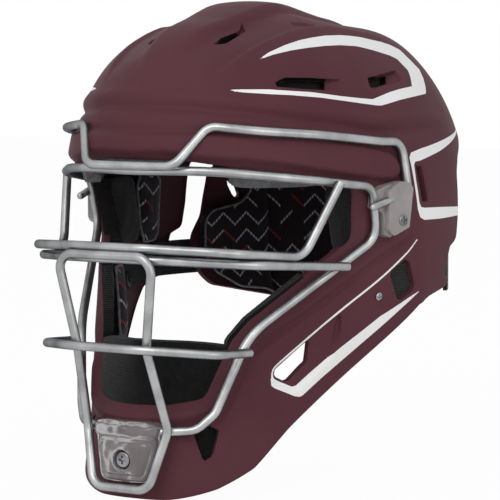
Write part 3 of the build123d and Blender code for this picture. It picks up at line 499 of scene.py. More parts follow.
def shellRelief(p):
    x, y, z = p[:, 0], p[:, 1], p[:, 2]
    turn = np.degrees(np.arctan2(x, -(y - body["middleY"])))
    around = np.stack([2 * turn, z], -1)
    rise = np.zeros(len(p))
    crown = ramp(z, 86, 100)
    # spine and the valleys beside it
    spine = lookUp(y, shell["spineHalf"])
    alongSpine = ramp(y, -128, -78) * (1 - ramp(y, 70, 118))
    rise += 3.3 * crown * alongSpine * (1 - ramp(x, spine - 5, spine + 2.5))
    ridge = lookUp(y, shell["ridgeAt"])
    valleyEnds = ramp(y, -114, -92) * (1 - ramp(y, 10, 60))
    rise -= 1.7 * crown * valleyEnds * ramp(x, spine - 1, spine + 4) * (1 - ramp(x, ridge - 2.2, ridge + 0.6))
    rise += 0.5 * crown * valleyEnds * np.exp(-((x - ridge - 1.5) / 3) ** 2)
    # soft groove between crown and visor
    fade = 1 - ramp(y, 5, 48)
    off = z - lookUp(y, shell["browCrease"])
    rise += fade * np.where(z > 40, 1, 0) * (1.3 * np.exp(-((off - 5) / 4.0) ** 2) - 2.0 * np.exp(-((off + 1.4) / 2.8) ** 2))
    # visor panel between brow wire and lip
    panel = insideOutline(around, roundedOutline(shell["visorPanel"], 5))
    rise += 2.2 * ramp(panel, -1.6, 2.0) - 0.8 * np.exp(-((panel + 2.4) / 2.0) ** 2) * (y < 0)
    # opening lip turns inwards
    lip = openingLevel(p)
    jawSide = ramp(-z, -44, -30)
    rise -= jawSide * 3.2 * np.clip(1 - lip / 6.5, 0, 1) * (y < 0)
    chinLip = ramp(-z, 48, 62)
    rise += chinLip * (1.3 * np.exp(-((lip - 6) / 3.2) ** 2) - 1.5 * np.exp(-((lip - 12.5) / 2.4) ** 2)) * (y < 0)
    rise -= (1 - jawSide) * 2.2 * np.clip(1 - lip / 4.5, 0, 1) ** 1.5 * (y < 0) * (z > 30)
    # jaw crease, lit band below it, step and pocket behind the stripe
    q = p[:, 1:3]
    off = sideOf(q, smoothLine(shell["jawCrease"], 4))
    ends = ramp(y, -112, -96) * (1 - ramp(y, -14, -3)) * (z < 40)
    rise += ends * (-1.5 * np.exp(-(off / 2.0) ** 2) + 0.9 * np.exp(-((off - 5.5) / 3.5) ** 2) + 0.35 * np.exp(-((off + 6) / 4) ** 2))
    pocket = insideOutline(q, roundedOutline(shell["jawPocket"], 3))
    rise -= 1.1 * ramp(pocket, -1.2, 1.2)
    step = sideOf(q, smoothLine(shell["jawStep"], 4))
    near = np.exp(-((z + 35) / 9.5) ** 4) * (pocket > 0)
    rise -= 1.3 * near * ramp(step, -0.5, 0.5) * (1 - ramp(step, 2, 16))
    # recesses of the vents
    chart = photoChart(p)
    slope = lambda name, far, gone: np.where(shellFolds[name](p) > 0.25, 3.2 * np.clip((gone - chart[:, 0]) / (gone - far), 0, 1), 0)
    rise -= slope("sideVentRamp", 328, 343) + slope("rearVentRamp", 390, 403)
    rise -= np.where(shellFolds["spineVentRamp"](p) > 0.2, 2.2, 0) + 1.2 * ramp(shellFolds["valleyVent"](p), 0, 1.2)
    return rise


def carve(points, faces, level):
    points, faces = splitSkin(points, faces, level(points))
    faces = faces[level(points[faces].mean(1)) > 0]
    return tidySkin(points, faces)[:2]


def buildSkin(name, materials, inset, wall, fineness, innerFineness, cuts, marks, folds, relief, dark=None, softEdge=1.1):
    points, faces = halfSkin(inset, fineness)
    for level in cuts.values():
        points, faces = carve(points, faces, level)
    edgeGap = lambda p: np.minimum.reduce([level(p) for level in cuts.values()])
    points, faces = splitSkin(points, faces, edgeGap(points) - softEdge)
    for level in folds.values():
        points, faces = splitSkin(points, faces, level(points))
        points, faces = splitSkin(points, faces, level(points) - 0.5)
    for level in marks.values():
        points, faces = splitSkin(points, faces, level(points))
    points, faces, used = tidySkin(points, faces)
    centres = points[faces].mean(1)
    mark = np.zeros(len(faces), int)
    for level in marks.values():
        mark[level(centres) > 0] = 1
    rise = relief(points) - 0.5 * np.clip(1 - edgeGap(points) / softEdge, 0, 1) ** 2
    points, faces, mark, source = mirrored(points, faces, mark)
    rise = rise[source]
    base = points.copy()
    normals = vertexNormals(base, faces)
    points = base + normals * rise[:, None]
    rim = openEdges(faces)
    loose, back = np.unique(rim, return_inverse=True)
    back = back.reshape(-1, 2)
    rows = [loose]
    extra = []
    for depth in (0.35, wall * 0.5, wall + 0.25):
        row = points[loose] - normals[loose] * (depth + 0.0)
        rows.append(len(points) + sum(len(e) for e in extra) + np.arange(len(loose)))
        extra.append(row)
    strips = []
    for upper, lower in zip(rows[:-1], rows[1:]):
        a, b = upper[back[:, 0]], upper[back[:, 1]]
        c, d = lower[back[:, 0]], lower[back[:, 1]]
        strips += [np.stack([b, a, c], 1), np.stack([b, c, d], 1)]
    strips = np.vstack(strips)
    points = np.vstack([points] + extra)
    allFaces = np.vstack([faces, strips])
    # wall strips that dark marks, the vents' walls, get slot 2: painted shade in near-black instead of the shell's own
    # colour
    shade = np.zeros(len(strips), int)
    if dark:
        shade[dark(points[strips].mean(1) * np.sign(points[strips].mean(1)[:, :1] * (1, 0, 0) + (0, 1, 1))) > 0] = 2
    mark = np.concatenate([mark, shade])
    outer = meshPiece(name, points, allFaces, [materials[0], materials[1], ventPaintedShade], mark, sharp=38)
    inner, innerFaces = halfSkin(inset, innerFineness)
    for level in cuts.values():
        inner, innerFaces = carve(inner, innerFaces, lambda p: level(p) + 0.15)
    softRise = np.minimum(relief(inner), 0.0) * 0.85
    inner, innerFaces, blank, source = mirrored(inner, innerFaces, np.zeros(len(innerFaces), int))
    inner = inner + vertexNormals(inner, innerFaces) * (softRise[source] - wall)[:, None]
    lining = meshPiece(name + "Inside", inner, innerFaces[:, ::-1], materials[2])
    return outer, lining


# painted shade: near-black for the vents' cut walls, which are shell plastic lying in shadow
ventPaintedShade = shellMaterial("ventPaintedShade", (14, 13, 14), (21, 19, 20), (0.6, 0.72))


# the vents' wall strips that get the painted shade
def ventShadeWalls(p):
    return np.maximum.reduce([photoLevel(p, shell[vent]) for vent in ("sideVent", "rearVent", "spineVent", "valleyVent")]) + 3.6


shellOuter, shellInner = buildSkin("shellOuter", (shellMatte, stripeWhite, innerMatte), 0.0, shell["wall"], shell["fineness"],
                                   shell["innerFineness"], shellCuts, shellMarks, shellFolds, shellRelief, ventShadeWalls)
shellInner.parent = shellOuter
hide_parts("front_shell")
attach(shellOuter, "shell")
print("front shell ready", len(shellOuter.data.polygons), len(shellInner.data.polygons))

# rear plate, side outline (y, z)
plate = {
    "inset": 14, "wall": 3, "fineness": 7, "innerFineness": 6,
    "profile": ((59.6, 41.9), (58.8, 34.1), (55.1, 14.2), (47, 2.8), (44.8, -5.7), (47, -22), (52.9, -29.1), (103.2, -39.8),
                (190, -42.6), (190, 69.6), (101.8, 67.5), (76.6, 51.8)),
    "profileCorners": (6, 12, 12, 10, 10, 8, 10, 30, 0, 0, 30, 14),
    "slot": ((71.4, 35.5), (73.6, 35.5), (79.1, 32), (82.2, 24.9), (78.1, 24.1)),
    "napeVents": ((-22, 30, 13, 4), (22, 30, 13, 4)), "taper": 7.0, "taperFrom": (4, 38),
}


def napeLevel(p):
    q = p[:, [0, 2]]
    best = np.full(len(p), -1e3)
    for x, z, half, radius in plate["napeVents"]:
        line = np.array([(x - half + radius, z), (x + half - radius, z)])
        best = np.maximum(best, radius - lineDistance(q, line))
    return best - np.maximum(0, -p[:, 1]) * 2


plateCuts = {
    "profile": lambda p: sideLevel(p, plate["profile"], plate["profileCorners"]),
    "slot": lambda p: -sideLevel(p, plate["slot"], 1.5),
    "napeVents": lambda p: -napeLevel(p),
}


def plateRelief(p):
    edge = plateCuts["profile"](p)
    return 0.9 * np.exp(-((edge - 4) / 2.6) ** 2) - 0.8 * ramp(edge, 7, 10) * (p[:, 1] < 100) * 0.6 - napeTaper(p[:, 2])


# below the buckles the plate draws in towards the neck
def napeTaper(z):
    return plate["taper"] * ramp(-np.asarray(z, float), *plate["taperFrom"])


plateOuter, plateInner = buildSkin("plateOuter", (shellMatte, stripeWhite, innerMatte), plate["inset"], plate["wall"],
                                   plate["fineness"], plate["innerFineness"], plateCuts, {}, {}, plateRelief)
plateInner.parent = plateOuter
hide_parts("rear_plate")
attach(plateOuter, "plate")
print("rear plate ready")
# finishes of the pieces that come from CAD: wires, clips, screws, buckles
# the metal's edge tint is painted shade: a near-black tint that darkens wire and screw edges at grazing angles
metal = {"wire": ((150, 151, 152), (180, 181, 182)), "wireShare": 0.94, "edgeShadeTint": (0.12, 0.12, 0.13, 1),
         "screw": ((104, 105, 108), (158, 159, 162)), "screwShare": 0.92}
clear = {"side": ((142, 134, 135), (166, 159, 159)), "chin": ((108, 99, 101), (128, 119, 121)), "through": 0.3, "roughness": (0.16, 0.26)}


def metalMaterial(name, tones, rough, share, grain):
    material, tree, shader = newMaterial(name, tones[1], rough[0], share)
    colourDrift(tree, shader, objectNoise(tree, 70, 4), *tones)
    roughnessDrift(tree, shader, objectNoise(tree, 300, 3), *rough)
    # painted shade on the edges, from the near-black edge tint
    shader.inputs["Specular Tint"].default_value = metal["edgeShadeTint"]
    addBump(tree, shader, objectNoise(tree, grain, 3).outputs["Fac"], 0.1, 0.0001)
    return material


def clearMaterial(name, tones):
    material, tree, shader = newMaterial(name, tones[1], clear["roughness"][0])
    colourDrift(tree, shader, objectNoise(tree, 45, 4), *tones)
    roughnessDrift(tree, shader, objectNoise(tree, 120, 3), *clear["roughness"])
    shader.inputs["Transmission Weight"].default_value = clear["through"]
    shader.inputs["IOR"].default_value = 1.42
    shader.inputs["Coat Weight"].default_value = 0.3
    shader.inputs["Coat Roughness"].default_value = 0.15
    addBump(tree, shader, objectNoise(tree, 90, 2).outputs["Fac"], 0.04, 0.0002)
    return material


def dress(material, *nodes):
    for name in nodes:
        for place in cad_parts[name].material_slots:
            place.material = material


wireSilver = metalMaterial("satinWire", metal["wire"], (0.3, 0.4), metal["wireShare"], 1500)
screwSteel = metalMaterial("polishedScrew", metal["screw"], (0.16, 0.3), metal["screwShare"], 900)
clipClear = clearMaterial("smokyClip", clear["side"])
chinClear = clearMaterial("smokyChinClip", clear["chin"])
buckleBlack = shellMaterial("buckleBlack", (26, 26, 28), (36, 36, 38), (0.4, 0.5))
dress(wireSilver, "cage_rim_wire", "cage_brow_wire", "cage_eye_bar", "cage_cross_bar", "cage_lower_bar", "cage_centre_loop",
      "cage_stub_wires")
dress(screwSteel, "side_clip_screws", "side_clip_nuts", "chin_clip_screw", "chin_clip_nut", "strap_screws", "strap_nuts")
dress(clipClear, "left_side_clip", "right_side_clip", "left_clip_cover", "right_clip_cover", "chin_clip")
dress(buckleBlack, "left_strap_buckle", "right_strap_buckle")
print("cage and clips ready")

# fabrics: plain, lining, print, webbing
fabric = {"black": ((8, 8, 9), (18, 18, 19)), "lining": ((84, 84, 86), (112, 112, 114)), "print": ((25, 18, 20), (40, 30, 33)),
          "line": (176, 176, 192), "accent": (160, 44, 44), "piping": ((92, 92, 98), (128, 128, 134)),
          "webbing": ((16, 16, 17), (28, 28, 30)), "mesh": ((24, 26, 26), (38, 40, 40))}


def solve(tree, operation, a, b=None, c=None):
    node = addNode(tree, "ShaderNodeMath", operation=operation)
    for place, value in zip(node.inputs, (a, b, c)):
        if value is None:
            continue
        if isinstance(value, (int, float)):
            place.default_value = value
        else:
            tree.links.new(value, place)
    return node.outputs[0]


def chartAxes(tree):
    place, split = addNode(tree, "ShaderNodeTexCoord"), addNode(tree, "ShaderNodeSeparateXYZ")
    tree.links.new(place.outputs["UV"], split.inputs["Vector"])
    return split.outputs["X"], split.outputs["Y"]


def knitHeight(tree, pitch):
    across, up = chartAxes(tree)
    rib = solve(tree, "SINE", solve(tree, "MULTIPLY", across, 2 * math.pi / pitch))
    row = solve(tree, "SINE", solve(tree, "MULTIPLY_ADD", up, 2 * math.pi / pitch, rib))
    fuzz = objectNoise(tree, 1400, 4)
    return solve(tree, "MULTIPLY_ADD", fuzz.outputs["Fac"], 1.4, solve(tree, "MULTIPLY_ADD", rib, 0.5, row))


def fabricMaterial(name, tones, pitch=0.0011, strength=0.5, rough=(0.86, 0.96), mottle=260):
    material, tree, shader = newMaterial(name, tones[1], rough[1], specular=0.12)
    colourDrift(tree, shader, objectNoise(tree, mottle, 5, 0.65), *tones)
    roughnessDrift(tree, shader, objectNoise(tree, 150, 3), *rough)
    shader.inputs["Sheen Weight"].default_value = 0.12
    shader.inputs["Sheen Roughness"].default_value = 0.5
    addBump(tree, shader, knitHeight(tree, pitch), strength, 0.0004)
    return material


printDesign = {"period": 0.0185, "rise": 0.0075, "spacing": 0.0104, "halfWidth": 0.0006, "dash": 0.0021, "shown": 0.2, "accented": 0.74}


def printMaterial(name):
    material, tree, shader = newMaterial(name, fabric["print"][1], 0.9, specular=0.2)
    across, up = chartAxes(tree)
    steps = solve(tree, "MULTIPLY", across, 2 / printDesign["period"])
    swing = solve(tree, "PINGPONG", steps, 1)
    rows = solve(tree, "MULTIPLY", solve(tree, "MULTIPLY_ADD", swing, printDesign["rise"], up), 1 / printDesign["spacing"])
    off = solve(tree, "ABSOLUTE", solve(tree, "SUBTRACT", solve(tree, "FRACT", rows), 0.5))
    gap = solve(tree, "MULTIPLY", off, printDesign["spacing"] * 0.78)
    line = addNode(tree, "ShaderNodeMapRange", interpolation_type="SMOOTHSTEP")
    line.inputs["From Min"].default_value = printDesign["halfWidth"] * 1.3
    line.inputs["From Max"].default_value = printDesign["halfWidth"] * 0.6
    tree.links.new(gap, line.inputs["Value"])
    dash = solve(tree, "LESS_THAN", solve(tree, "FRACT", solve(tree, "MULTIPLY", across, 1 / printDesign["dash"])), 0.74)
    cell = addNode(tree, "ShaderNodeCombineXYZ")
    tree.links.new(solve(tree, "FLOOR", steps), cell.inputs["X"])
    tree.links.new(solve(tree, "FLOOR", rows), cell.inputs["Y"])
    chance = addNode(tree, "ShaderNodeTexWhiteNoise", noise_dimensions="3D")
    tree.links.new(cell.outputs[0], chance.inputs["Vector"])
    shown = solve(tree, "GREATER_THAN", chance.outputs["Value"], printDesign["shown"])
    mask = solve(tree, "MULTIPLY", solve(tree, "MULTIPLY", line.outputs["Result"], dash), shown)
    accent = solve(tree, "GREATER_THAN", chance.outputs["Value"], printDesign["accented"])
    ink, cloth, whole = (addNode(tree, "ShaderNodeMix", data_type="RGBA") for _ in range(3))
    ink.inputs[6].default_value, ink.inputs[7].default_value = linear(fabric["line"]), linear(fabric["accent"])
    tree.links.new(accent, ink.inputs[0])
    cloth.inputs[6].default_value, cloth.inputs[7].default_value = (linear(t) for t in fabric["print"])
    tree.links.new(objectNoise(tree, 300, 5, 0.65).outputs["Fac"], cloth.inputs[0])
    tree.links.new(mask, whole.inputs[0])
    tree.links.new(cloth.outputs[2], whole.inputs[6])
    tree.links.new(ink.outputs[2], whole.inputs[7])
    tree.links.new(whole.outputs[2], shader.inputs["Base Color"])
    roughnessDrift(tree, shader, objectNoise(tree, 150, 3), 0.84, 0.95)
    shader.inputs["Sheen Weight"].default_value = 0.1
    addBump(tree, shader, knitHeight(tree, 0.0011), 0.4, 0.0004)
    return material


blackFabric = fabricMaterial("blackFabric", fabric["black"])
greyLining = fabricMaterial("greyLining", fabric["lining"], 0.0009, 0.5)
pipingGrey = fabricMaterial("pipingGrey", fabric["piping"], 0.0009, 0.3)
webbingBlack = fabricMaterial("webbingBlack", fabric["webbing"], 0.0016, 0.8)
meshBlack = fabricMaterial("meshBlack", fabric["mesh"], 0.0013, 1.0)
linePrint = printMaterial("linePrint")
print("fabrics ready")


# soft forms
def alongPoints(corners, count):
    pts = np.array(corners, float)
    scale = np.array([1.7, 1.0])
    length = np.concatenate([[0], np.cumsum(np.linalg.norm(np.diff(pts, axis=0) * scale, axis=1))])
    t = np.linspace(0, length[-1], count)
    line = np.stack([np.interp(t, length, pts[:, k]) for k in range(2)], -1)
    for _ in range(2):
        line[1:-1] = (line[:-2] + 2 * line[1:-1] + line[2:]) / 4
    return line


def coonsChart(pad, across, up):
    low, high, start, end = pad["low"], pad["high"], pad.get("start"), pad.get("end")
    bottom, top = alongPoints(low, across), alongPoints(high, across)
    left = alongPoints([low[0], *(start or ()), high[0]], up)
    right = alongPoints([low[-1], *(end or ()), high[-1]], up)
    u, v = np.meshgrid(np.linspace(0, 1, across), np.linspace(0, 1, up), indexing="ij")
    s, t = 2 * u - 1, 2 * v - 1
    cut = (np.abs(s) * np.abs(t)) ** 5
    length = 1.7 * abs(np.mean(top[-1] + bottom[-1] - top[0] - bottom[0], where=[True, False])) / 2
    height = np.abs(np.mean(top[:, 1] - bottom[:, 1]))
    s, t = s * (1 - cut * 0.6 * pad["round"] / length), t * (1 - cut * 0.6 * pad["round"] / height)
    u, v = (s + 1) / 2, (t + 1) / 2
    pick = lambda line, w: np.stack([np.interp(w, np.linspace(0, 1, len(line)), line[:, k]) for k in range(2)], -1)
    U, V = u[..., None], v[..., None]
    flat = (1 - V) * pick(bottom, u) + V * pick(top, u) + (1 - U) * pick(left, v) + U * pick(right, v)
    return flat - ((1 - U) * (1 - V) * bottom[0] + U * (1 - V) * bottom[-1] + (1 - U) * V * top[0] + U * V * top[-1]), s, t


def creases(chart, seed):
    a, z = chart[..., 0] * 1.7, chart[..., 1]
    return sum(np.sin(a * f + z * g + seed * 1.7 + k) * w for k, (f, g, w) in
               enumerate(((0.21, 0.13, 0.25), (-0.16, 0.3, 0.22), (0.47, -0.29, 0.12), (0.33, 0.61, 0.1))))


def tubeAround(loop, outwards, radius, sides=8):
    ahead = np.roll(loop, -1, axis=0) - np.roll(loop, 1, axis=0)
    ahead /= np.linalg.norm(ahead, axis=1, keepdims=True)
    first = outwards - ahead * (outwards * ahead).sum(1, keepdims=True)
    first /= np.linalg.norm(first, axis=1, keepdims=True)
    second = np.cross(ahead, first)
    turns = np.linspace(0, 2 * math.pi, sides, endpoint=False)
    rings = loop[:, None] + radius * (np.cos(turns)[None, :, None] * first[:, None] + np.sin(turns)[None, :, None] * second[:, None])
    count = len(loop)
    number = np.arange(count * sides).reshape(count, sides)
    after, beside = np.roll(number, -1, axis=0), np.roll(number, -1, axis=1)
    faces = np.stack([number, after, np.roll(after, -1, axis=1), beside], -1).reshape(-1, 4)
    return rings.reshape(-1, 3), faces


def layUv(piece, chart):
    layer = piece.data.uv_layers.new(name="chart")
    loops = np.zeros(len(piece.data.loops), np.int32)
    piece.data.loops.foreach_get("vertex_index", loops)
    layer.data.foreach_set("uv", chart[loops].astype(np.float32).ravel())


def padForm(name, pad, side, materials):
    across, up = pad.get("grid", (34, 26))
    chart, s, t = coonsChart(pad, across, up)
    crown = (1 - np.abs(s) ** pad.get("crown", 3.2)) * (1 - np.abs(t) ** pad.get("crown", 3.2))
    depth = pad["thick"] * (pad["edge"] + (1 - pad["edge"]) * crown) + creases(chart, pad["thick"]) * np.minimum(1, crown * 3)
    for turn, width, deep in pad.get("channels", ()):
        depth -= deep * np.exp(-((chart[..., 0] - turn) / width) ** 2) * np.minimum(1, crown * 4)
    reach = pad.get("surface", wallSurface)
    at = lambda c, d: reach(c[..., 0], c[..., 1], pad["base"], d) * (side, 1, 1)
    rim = np.concatenate([np.stack([np.arange(across - 1), np.zeros(across - 1, int)], 1),
                          np.stack([np.full(up - 1, across - 1), np.arange(up - 1)], 1),
                          np.stack([np.arange(across - 1, 0, -1), np.full(across - 1, up - 1)], 1),
                          np.stack([np.zeros(up - 1, int), np.arange(up - 1, 0, -1)], 1)])
    edgeChart, edgeDepth = chart[rim[:, 0], rim[:, 1]], depth[rim[:, 0], rim[:, 1]]
    middle = chart.reshape(-1, 2).mean(0)
    number = np.arange(across * up).reshape(across, up)
    points, charts = [at(chart, depth).reshape(-1, 3)], [chart.reshape(-1, 2)]
    faces = [np.stack([number[:-1, :-1], number[1:, :-1], number[1:, 1:], number[:-1, 1:]], -1).reshape(-1, 4)]
    marks = [np.zeros(len(faces[0]), int)]
    ring, total = number[rim[:, 0], rim[:, 1]], across * up
    far = np.linalg.norm((edgeChart - middle) * (1.75, 1), axis=1, keepdims=True)
    for share in (0.8, 0.5, 0.2, 0.0):
        swell = 1 + 0.012 * math.sin(math.pi * share)
        points.append(at(middle + (edgeChart - middle) * swell, edgeDepth * share))
        charts.append(middle + (edgeChart - middle) * (1 + edgeDepth[:, None] * (1 - share) / far))
        lower = total + np.arange(len(rim))
        total += len(rim)
        faces.append(np.stack([ring, lower, np.roll(lower, -1), np.roll(ring, -1)], -1))
        marks.append(np.ones(len(rim), int))
        ring = lower
    inner = number[1:-1, 1:-1]
    points.append(at(chart[1:-1, 1:-1], 0 * depth[1:-1, 1:-1]).reshape(-1, 3))
    charts.append(chart[1:-1, 1:-1].reshape(-1, 2))
    under = np.zeros((across, up), int)
    under[rim[:, 0], rim[:, 1]] = ring
    under[1:-1, 1:-1] = total + np.arange(inner.size).reshape(inner.shape)
    faces.append(np.stack([under[:-1, :-1], under[:-1, 1:], under[1:, 1:], under[1:, :-1]], -1).reshape(-1, 4))
    marks.append(np.ones(len(faces[-1]), int))
    total += inner.size
    if pad.get("piping"):
        loop = at(middle + (edgeChart - middle) * 1.006, edgeDepth * 1.0)
        outwards = at(edgeChart, edgeDepth + 1) - at(edgeChart, edgeDepth)
        ringPoints, ringFaces = tubeAround(loop, outwards, pad["piping"])
        points.append(ringPoints)
        charts.append(np.repeat(edgeChart, 8, axis=0))
        faces.append(ringFaces + total)
        marks.append(np.full(len(ringFaces), 2))
    faces = np.vstack(faces)
    if side * pad.get("flip", 1) > 0:
        faces = faces[:, ::-1]
    piece = meshPiece(name, np.vstack(points), faces, materials, np.concatenate(marks), sharp=70)
    layUv(piece, np.vstack(charts) * (1.75 * mm, mm))
    return piece


def wallSurface(turn, z, base, depth):
    return wallAt(turn, z, base + depth)


def plateSurface(turn, z, base, depth):
    return wallAt(turn, z, base + napeTaper(z) + depth)


def domeSurface(x, y, base, depth):
    flat = np.stack([x.ravel(), y.ravel(), np.zeros(x.size)], -1)
    up = np.broadcast_to((0.0, 0.0, 1.0), flat.shape)
    roof = reachWall(flat, up, base, 150)
    roof[:, 2] -= crownDrop(roof) + np.asarray(depth).ravel()
    return roof.reshape(*x.shape, 3)


# pads, in turns from the face and heights; each side is listed from its start, and the right ones are mirrored
pads = {
    "foreheadPad": {"nodes": ("forehead_pad_centre",), "low": ((-21, 56.8), (21, 56.8)), "high": ((-19, 93), (19, 93)),
                    "thick": 12, "finish": "print", "sides": greyLining},
    "foreheadSidePad": {"nodes": ("left_forehead_pad", "right_forehead_pad"), "low": ((31, 42.6), (57, 42.6)), "high": ((25, 88), (58, 88)),
                        "thick": 12, "finish": "print", "sides": greyLining},
    "templePad": {"nodes": ("left_temple_pad", "right_temple_pad"), "low": ((59.5, 2.8), (78.5, 2.8)), "high": ((58, 41.9), (78.5, 41.9)),
                  "thick": 14, "round": 9},
    "sidePad": {"nodes": ("left_side_pad", "right_side_pad"), "low": ((82.5, 1.1), (93, 1.1)), "high": ((81.5, 42), (94, 42)),
                "thick": 11, "round": 9, "piping": 0.8, "finish": "print"},
    "jawPad": {"nodes": ("left_jaw_pad", "right_jaw_pad"), "low": ((55.5, -50), (62, -49)), "high": ((52.5, -9.2), (63.5, -9.2)),
               "thick": 10, "round": 4, "piping": 0.8, "finish": "print"},
    "chinPad": {"nodes": ("chin_pad",), "low": ((-34, -114), (34, -114)), "high": ((-37, -42), (-20, -40.5), (0, -39.6), (20, -40.5), (37, -42)),
                "thick": 15, "round": 10, "grid": (60, 34), "edge": 0.6},
    "rearPad": {"nodes": ("left_rear_pad", "right_rear_pad"), "low": ((111, -20), (121, -29), (134, -31), (139, -35), (178, -38)),
                "high": ((131, 44), (178, 44)), "start": ((107.8, -10), (108.6, 12), (112, 17.5), (125, 21), (129.5, 28)),
                "thick": 9, "base": 17.5, "surface": plateSurface, "body": "plate", "piping": 0.7, "finish": "print", "grid": (72, 40), "round": 3,
                "channels": ((138, 1.6, 5.0),)},
    "occiputPad": {"nodes": ("occiput_pad",), "low": ((152, 48.5), (208, 48.5)), "high": ((156, 63.5), (204, 63.5)), "thick": 9, "base": 17.5,
                   "body": "plate", "round": 5},
    "crownPad": {"nodes": ("crown_pad_centre",), "low": ((-16, -75), (-16, 83)), "high": ((16, -75), (16, 83)), "thick": 12,
                 "base": 4, "surface": domeSurface, "grid": (40, 12), "flip": -1},
    "sideCrownPad": {"nodes": ("left_crown_pad", "right_crown_pad"), "low": ((24.5, -51), (24.5, 62)), "high": ((56, -51), (56, 62)),
                     "thick": 12, "base": 4, "surface": domeSurface, "grid": (34, 12), "flip": -1},
}
for name, pad in pads.items():
    for key, value in (("base", 4.0), ("edge", 0.7), ("round", 6), ("body", "shell")):
        pad.setdefault(key, value)
    face = linePrint if pad.get("finish") == "print" else blackFabric
    finish = (face, pad.get("sides", blackFabric), pipingGrey)
    for node in pad["nodes"]:
        side = -1 if node.startswith("right") else 1
        label = name if len(pad["nodes"]) == 1 else ("right" if side < 0 else "left") + name[0].upper() + name[1:]
        piece = padForm(label, pad, side, finish)
        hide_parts(node)
        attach(piece, pad["body"])
print("pads ready")

# side straps: elastic webbing from the shell to the buckles
strap = {"turns": (66.2, 115.7), "from": 58.0, "to": 115.7, "inset": 4.2, "drift": 4.5, "thick": 1.8, "level": -14.6,
         "edges": ((-36, -29.1, -14.2), (24.8, -21.3, -0.5), (90, -21.3, -0.5)), "steps": 60}


def strapForm(side):
    turns = np.linspace(*strap["turns"], strap["steps"])
    across = np.linspace(-1, 1, 9)
    centre = wallAt(turns, np.full(len(turns), strap["level"]), strap["inset"])
    y, low, high = (np.array(v, float) for v in zip(*strap["edges"]))
    lows, highs = np.interp(centre[:, 1], y, low), np.interp(centre[:, 1], y, high)
    drift = strap["drift"] * ((turns - strap["from"]) / (strap["to"] - strap["from"])) ** 2
    layers = []
    for extra in (0.0, strap["thick"]):
        inset = strap["inset"] + drift + extra
        flat = np.array([wallAt(np.array([t]), np.array([strap["level"]]), i)[0] for t, i in zip(turns, inset)])
        grid = np.repeat(flat[:, None], len(across), axis=1)
        pinch = 0.25 * np.abs(across) ** 4 * (1 if extra == 0 else -1)
        grid[..., 2] = (lows + highs)[:, None] / 2 + (highs - lows)[:, None] / 2 * across
        normal = flat / np.linalg.norm(flat * (1, 1, 0), axis=1, keepdims=True) * (1, 1, 0)
        grid -= normal[:, None] * pinch[None, :, None]
        layers.append(grid * (side, 1, 1))
    rows, columns = layers[0].shape[:2]
    number = np.arange(rows * columns).reshape(rows, columns)
    other = number + rows * columns
    quads = lambda n: np.stack([n[:-1, :-1], n[1:, :-1], n[1:, 1:], n[:-1, 1:]], -1).reshape(-1, 4)
    rim = np.concatenate([number[:, 0], number[-1, 1:], number[-2::-1, -1], number[0, -2:0:-1]])
    far = rim + rows * columns
    faces = np.vstack([quads(number), quads(other)[:, ::-1], np.stack([np.roll(rim, -1), rim, far, np.roll(far, -1)], -1)])
    if side < 0:
        faces = faces[:, ::-1]
    piece = meshPiece(("left" if side > 0 else "right") + "Strap", np.vstack([layer.reshape(-1, 3) for layer in layers]), faces, [webbingBlack], sharp=50)
    chart = np.stack(np.broadcast_arrays(np.linspace(0, 1, rows)[:, None] * 0.1, across * 0.009), -1).reshape(-1, 2)
    layUv(piece, np.vstack([chart, chart]))
    return piece


for side, word in ((1, "left"), (-1, "right")):
    webbing = strapForm(side)
    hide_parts(word + "_side_strap")
    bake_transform(webbing)
print("straps ready")


# cloth behind the ear windows, foam behind the vents
def sheetBehind(name, level, inset, thick, fineness, material):
    points, faces = halfSkin(inset, fineness)
    points, faces = carve(points, faces, level)
    points, faces, blank, source = mirrored(points, faces, np.zeros(len(faces), int))
    normals = vertexNormals(points, faces)
    rim = openEdges(faces)
    count = len(points)
    whole = np.vstack([points, points - normals * thick])
    sides = np.vstack([np.stack([rim[:, 1], rim[:, 0], rim[:, 0] + count], 1), np.stack([rim[:, 1], rim[:, 0] + count, rim[:, 1] + count], 1)])
    piece = meshPiece(name, whole, np.vstack([faces, faces[:, ::-1] + count, sides]), [material], sharp=50)
    layUv(piece, np.stack([whole[:, 1], whole[:, 2]], -1) * mm)
    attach(piece, "shell")
    return piece


earCloth = sheetBehind("earWindowCloth", lambda p: sideLevel(p, shell["earWindow"]) + 3, 3.62, 0.4, 7, meshBlack)
ventFoam = sheetBehind("ventFoam", lambda p: np.maximum(photoLevel(p, shell["sideVent"]), photoLevel(p, shell["rearVent"])) + 4.5,
                       7.5, 2.0, 6, blackFabric)
chinFoam = sheetBehind("chinWindowFoam", lambda p: frontLevel(p, shell["chinWindow"]) + 3, 3.62, 0.4, 7, blackFabric)
print("window cloth ready")

# chin clip: a clear plate that follows the chin, with a roll over the wires, a groove round its panel and a collar
# round its screw
chinClip = {"low": ((-15.8, -115.5), (15.8, -115.5)), "high": ((-22, -82.6), (22, -82.6)), "thick": 7.4, "base": -0.4, "edge": 0.8,
            "round": 7, "crown": 10, "grid": (76, 64), "panel": ((-17, -94), (17, -94), (12.6, -112.2), (-12.6, -112.2)),
            "groove": (0.8, 0.9), "rollAt": -87.4, "rollRise": 2.6, "rollHalf": 3.7, "screwAt": (0, -103.4), "collar": (6.0, 0.7), "bore": (4.8, 4.4)}


